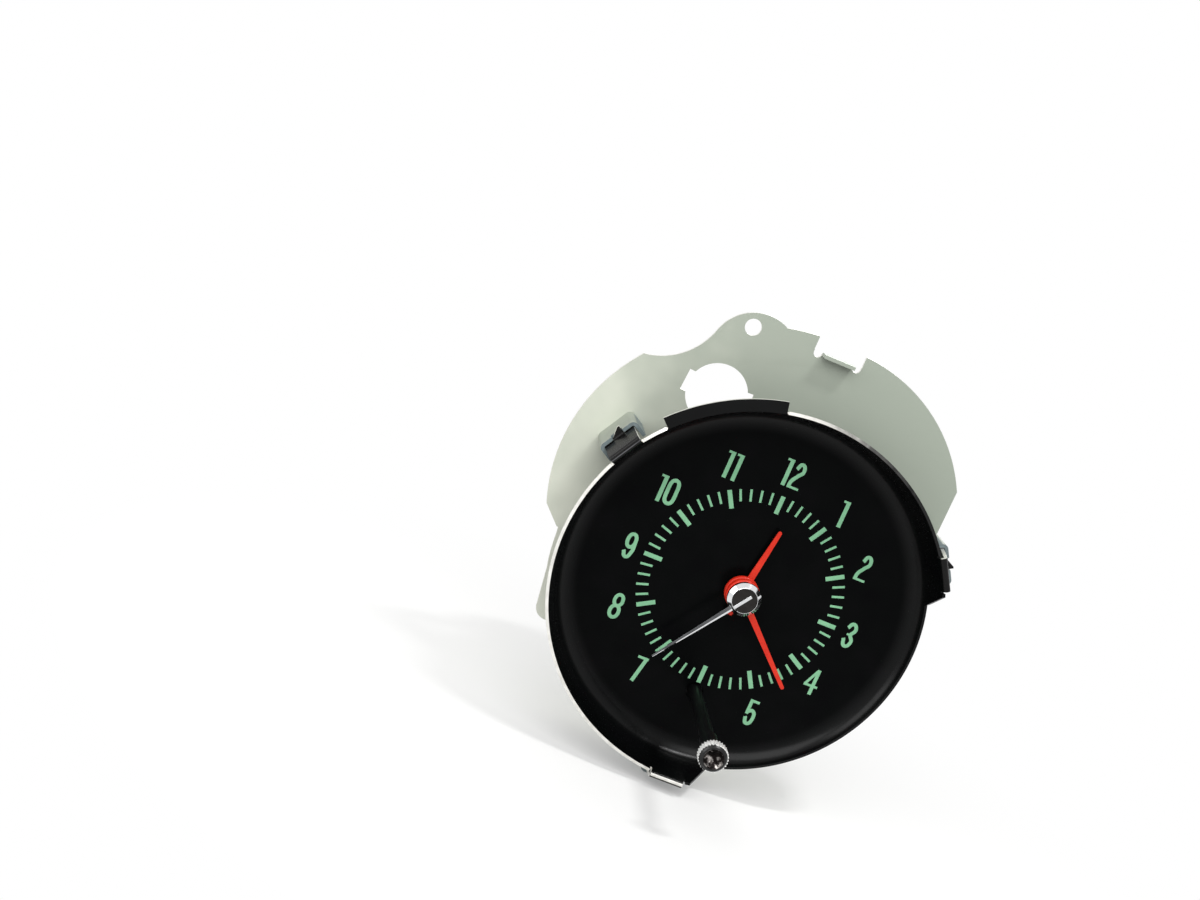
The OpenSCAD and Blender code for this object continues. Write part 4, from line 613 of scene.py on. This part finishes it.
def handCap(bm):
    size = secondHand
    line = ((size["boreR"], 0), (size["capR"], 0), (size["capR"], size["skirt"]),
            (size["faceR"] + size["edge"], size["faceZ"] - size["edge"] / 2), (size["faceR"], size["faceZ"]),
            (0, size["faceZ"]))
    verts = [bm.verts.new((r, 0, z)) for r, z in line]
    edges = [bm.edges.new(pair) for pair in zip(verts, verts[1:])]
    bmesh.ops.spin(bm, geom=verts + edges, cent=(0, 0, 0), axis=(0, 0, 1), angle=2 * math.pi,
                   steps=size["capSteps"], use_merge=True)
    bmesh.ops.remove_doubles(bm, verts=bm.verts, dist=hair)
    # the cap's face takes its painted dark reflection
    for face in facesWhere(bm, lambda c: c.z > size["faceZ"] - tiny):
        face.material_index = size["finishes"].index(capFacePaintedReflection)


def handBar(bm):
    size = secondHand
    bottom = size["faceZ"] - size["barSink"]  # sunk into the cap's face
    middle = (0, (size["barFrom"] + size["barTo"]) / 2, (bottom + size["barZ"]) / 2)
    bmesh.ops.create_cube(bm, size=1, matrix=Matrix.Translation(middle) @ Matrix.Diagonal(
        (size["barW"], size["barTo"] - size["barFrom"], size["barZ"] - bottom, 1)))


def handPointer(bm):
    size = secondHand
    half = size["root"] / 2
    section = [bm.verts.new((x, size["start"], z)) for x, z in (
        (-half, size["low"]), (half, size["low"]), (half, size["side"]), (size["ridgeX"], size["ridge"]),
        (-half, size["side"]))]
    root = bmesh.ops.contextual_create(bm, geom=section)["faces"]
    grown = bmesh.ops.extrude_face_region(bm, geom=root)["geom"]
    for vert in grown:
        if isinstance(vert, bmesh.types.BMVert):
            vert.co = (vert.co.x * size["tip"] / size["root"], size["length"], vert.co.z)


def buildSecondHand():
    bm = bmesh.new()
    handCap(bm)
    handBar(bm)
    handPointer(bm)
    bmesh.ops.recalc_face_normals(bm, faces=bm.faces)
    aside, upward = secondHand["flank"]
    # the pointer's upper flank takes a painted dark reflection
    for face in facesWhere(bm, lambda c: c.y > secondHand["capR"]):
        if face.normal.x > aside and face.normal.z > upward:
            face.material_index = secondHand["finishes"].index(greyPaintedReflection)
    bmesh.ops.transform(bm, matrix=Matrix.Translation((0, 0, secondHand["z"])) @ onClock(secondHand["angle"]),
                        verts=bm.verts)
    piece = linkPiece("secondHand", meshOf("secondHand", bm), secondHand["finishes"], "second_hand", sharp=8)
    softenEdges(piece, secondHand["edgeR"], angle=40)
    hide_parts("second_hand")
    print("second hand built")


buildSecondHand()

# the stem's return spring: round wire on a helix, pressed together as the stem is pulled
spring = {"wire": 0.5, "turns": 5, "steps": 24, "sides": 12}


def buildSpring():
    low, high = [Vector(corner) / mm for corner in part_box("stem_spring")]
    coilR = (high.x - low.x - spring["wire"]) / 2
    pitch = (high.y - low.y - spring["wire"]) / spring["turns"]
    steps = spring["steps"] * spring["turns"]
    first = Matrix.Translation((coilR, dish["stemY"], -high.y + spring["wire"] / 2))
    bm = bmesh.new()
    bmesh.ops.create_circle(bm, cap_ends=False, radius=spring["wire"] / 2, segments=spring["sides"],
                            matrix=first @ Matrix.Rotation(math.radians(90), 4, "X"))
    bmesh.ops.spin(bm, geom=bm.verts[:] + bm.edges[:], cent=(0, dish["stemY"], 0), axis=(0, 0, 1),
                   dvec=(0, 0, pitch / spring["steps"]), angle=2 * math.pi * spring["turns"], steps=steps)
    bmesh.ops.holes_fill(bm, edges=[edge for edge in bm.edges if edge.is_boundary])
    bmesh.ops.recalc_face_normals(bm, faces=bm.faces)
    piece = linkPiece("stemSpring", meshOf("stemSpring", bm), (springSteel,), "stem_spring")
    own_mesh(piece)
    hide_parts("stem_spring")
    print("return spring built")


buildSpring()

# pieces whose CAD shape is the real one: each one's name, the rounding of its edges in mm and its segments
softened = {
    "mounting_plate": ("mountingPlate", 0.09, 2), "hour_hand": ("hourHand", 0.14, 3),
    "minute_hand": ("minuteHand", 0.14, 3), "set_knob": ("setKnob", 0.05, 2),
    "set_stem": ("setStem", 0.08, 2), "rear_cover": ("rearCover", 0.15, 2),
    "cover_screws": ("coverScrews", 0.08, 2), "power_terminal": ("powerTerminal", 0.1, 2),
    "terminal_bush": ("terminalBush", 0.2, 2)}
# mm between points made one, degrees between faces made one
joined = {"points": 0.02, "faces": 0.4}

# where the plate's sheet ends and its lugs begin in mm, the lugs' reach in degrees to either side of a tab,
# and the most that the normal of a cut edge leans
plate = {
    "sheet": 0.95, "lugOut": 1, "lugReach": 9, "lean": 0.3, "finishes": (zinc, bareEdge, lugSideShade, lugBackShade)}
# the knob's front: its radius in mm, and the least that its faces look forward, and inward in the hollow
knob = {
    "frontR": 3.3, "forward": 0.25, "inward": 0.02, "finishes": (frostedNickel, knobBevelPaintedReflection, hollowPaintedReflections)}


# a merged copy of a CAD node's mesh, flat faces joined up, ready for softer edges
def copyOfNode(node):
    bm = bmesh.new()
    bm.from_mesh(cadNodes[node].data)
    bmesh.ops.remove_doubles(bm, verts=bm.verts, dist=joined["points"] * mm)
    bmesh.ops.dissolve_limit(bm, angle_limit=math.radians(joined["faces"]), verts=bm.verts, edges=bm.edges)
    return bm


# the sheet's cut edges are bare; the lugs' ends and returns take painted shade, darker than the plate
def plateFinishes(bm):
    for face in bm.faces:
        c = face.calc_center_median()
        inSheet = all(-slack < vert.co.y / mm < plate["sheet"] for vert in face.verts)
        if inSheet and abs(face.normal.y) < plate["lean"]:
            face.material_index = plate["finishes"].index(bareEdge)
        elif c.y < -plate["lugOut"] * mm and tabTurn(c.xz) < plate["lugReach"]:
            across = abs(face.normal.xz.dot(c.xz.normalized())) < plate["lean"]
            face.material_index = plate["finishes"].index(lugSideShade if across else lugBackShade)


# the knob's knurl is bright; its front bevel is a painted dark reflection, its hollow dark with painted
# reflections and glints
def knobFinishes(bm):
    for face in bm.faces:
        c = face.calc_center_median()
        out = Vector((c.x, c.z - dish["stemY"] * mm))
        if face.normal.y < -knob["forward"] and out.length < knob["frontR"] * mm:
            hollow = face.normal.xz.dot(out) < -knob["inward"] * out.length
            face.material_index = knob["finishes"].index(hollowPaintedReflections if hollow else knobBevelPaintedReflection)


mixedFinishes = {"mounting_plate": (plateFinishes, plate["finishes"]),
                 "set_knob": (knobFinishes, knob["finishes"])}


def buildSoftened():
    for node, (name, width, segments) in softened.items():
        bm = copyOfNode(node)
        pick, finishes = mixedFinishes.get(node, (None, (finishOf[slotOf[node]],)))
        if pick:
            pick(bm)
        piece = linkPiece(name, meshOf(name, bm, Matrix.Identity(4)), finishes, node)
        softenEdges(piece, width, segments)
        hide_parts(node)
    print("softened copies:", len(softened))


buildSoftened()

# camera at the photograph's angle: eye in mm, turn to the right, tilt down and roll in degrees,
# lens, sensor and nearest distance shown in mm
camera = {
    "eye": (-110, -440.16, 108.7), "yaw": 8.248, "down": 11.451, "roll": 23.489, "lens": 54, "sensor": 36,
    "nearest": 10}


def setCamera():
    data = bpy.data.cameras.new("camera")
    data.lens = camera["lens"]
    data.sensor_width = camera["sensor"]
    data.clip_start = camera["nearest"] * mm
    eye = bpy.data.objects.new("camera", data)
    bpy.context.scene.collection.objects.link(eye)
    eye.matrix_world = (Matrix.Translation(Vector(camera["eye"]) * mm)
                        @ Matrix.Rotation(math.radians(-camera["yaw"]), 4, "Z")
                        @ Matrix.Rotation(math.radians(90 - camera["down"]), 4, "X")
                        @ Matrix.Rotation(math.radians(camera["roll"]), 4, "Z"))
    bpy.context.scene.camera = eye


# plain studio: a white floor that fades into white, a soft overhead lamp, two fills and a narrow strip above;
# a lamp has its place and size in mm and its power in watts
studio = {
    "floorR": 170, "floorSteps": 96, "fadeFrom": 20, "paper": "#f7f7f6", "fill": 0.4,
    "lamps": (("overhead", (-160, -540, 430), (640, 460), 3.3),
              ("leftFill", (-620, -260, 160), (360, 420), 1.6),
              ("rearFill", (260, 620, 320), (420, 420), 1.6),
              ("strip", (88, -178, 455), (125, 25), 0.9))}


def seenBy(tree):  # 1 for camera, mirror and glass rays, 0 for light falling on the object
    path = addNode(tree, "ShaderNodeLightPath")
    seen = addNode(tree, "ShaderNodeMath", {"operation": "MAXIMUM"},
                   {0: path.outputs["Is Camera Ray"], 1: path.outputs["Is Glossy Ray"]})
    return addNode(tree, "ShaderNodeMath", {"operation": "MAXIMUM"},
                   {0: seen.outputs[0], 1: path.outputs["Is Transmission Ray"]}).outputs[0]


def setWorld():
    world = bpy.data.worlds.new("studio")
    world.use_nodes = True
    tree = world.node_tree
    tree.nodes.clear()
    fill = addNode(tree, "ShaderNodeBackground", {"Color": (1, 1, 1, 1), "Strength": studio["fill"]})
    white = addNode(tree, "ShaderNodeBackground", {"Color": (1, 1, 1, 1), "Strength": 1})
    mixed = addNode(tree, "ShaderNodeMixShader",
                    links={0: seenBy(tree), 1: fill.outputs[0], 2: white.outputs[0]})
    addNode(tree, "ShaderNodeOutputWorld", links={"Surface": mixed.outputs[0]})
    bpy.context.scene.world = world


def layFloor():
    bm = bmesh.new()
    bmesh.ops.create_circle(bm, cap_ends=True, radius=studio["floorR"] * mm, segments=studio["floorSteps"],
                            matrix=Matrix.Translation((0, 0, cadBox[0].z)))
    floor = bpy.data.objects.new("floor", meshOf("floor", bm, Matrix.Identity(4)))
    paper = bpy.data.materials.new("whitePaper")
    paper.use_nodes = True
    tree = paper.node_tree
    tree.nodes.clear()
    place = addNode(tree, "ShaderNodeTexCoord").outputs["Object"]
    reach = addNode(tree, "ShaderNodeVectorMath", {"operation": "LENGTH"}, {0: place})
    fade = addNode(tree, "ShaderNodeMapRange",
                   {"From Min": studio["fadeFrom"] * mm, "From Max": studio["floorR"] * mm},
                   {"Value": reach.outputs["Value"]})
    sheet = addNode(tree, "ShaderNodeBsdfDiffuse", {"Color": linear(studio["paper"])})
    glow = addNode(tree, "ShaderNodeEmission", {"Color": (1, 1, 1, 1), "Strength": 1})
    shown = addNode(tree, "ShaderNodeMath", {"operation": "MULTIPLY"},
                    {0: fade.outputs["Result"], 1: seenBy(tree)})
    mixed = addNode(tree, "ShaderNodeMixShader",
                    links={0: shown.outputs[0], 1: sheet.outputs[0], 2: glow.outputs[0]})
    addNode(tree, "ShaderNodeOutputMaterial", links={"Surface": mixed.outputs[0]})
    floor.data.materials.append(paper)
    bpy.context.scene.collection.objects.link(floor)


def hangLamps():
    for name, place, size, power in studio["lamps"]:
        data = bpy.data.lights.new(name, "AREA")
        data.shape = "RECTANGLE"
        data.size, data.size_y = size[0] * mm, size[1] * mm
        data.energy = power
        lamp = bpy.data.objects.new(name, data)
        bpy.context.scene.collection.objects.link(lamp)
        lamp.location = Vector(place) * mm
        lamp.rotation_euler = (-lamp.location).to_track_quat("-Z", "Y").to_euler()
        lamp.visible_camera = False


setCamera()
setWorld()
layFloor()
hangLamps()
bpy.context.scene.view_settings.view_transform = "Standard"
print("camera and studio set")
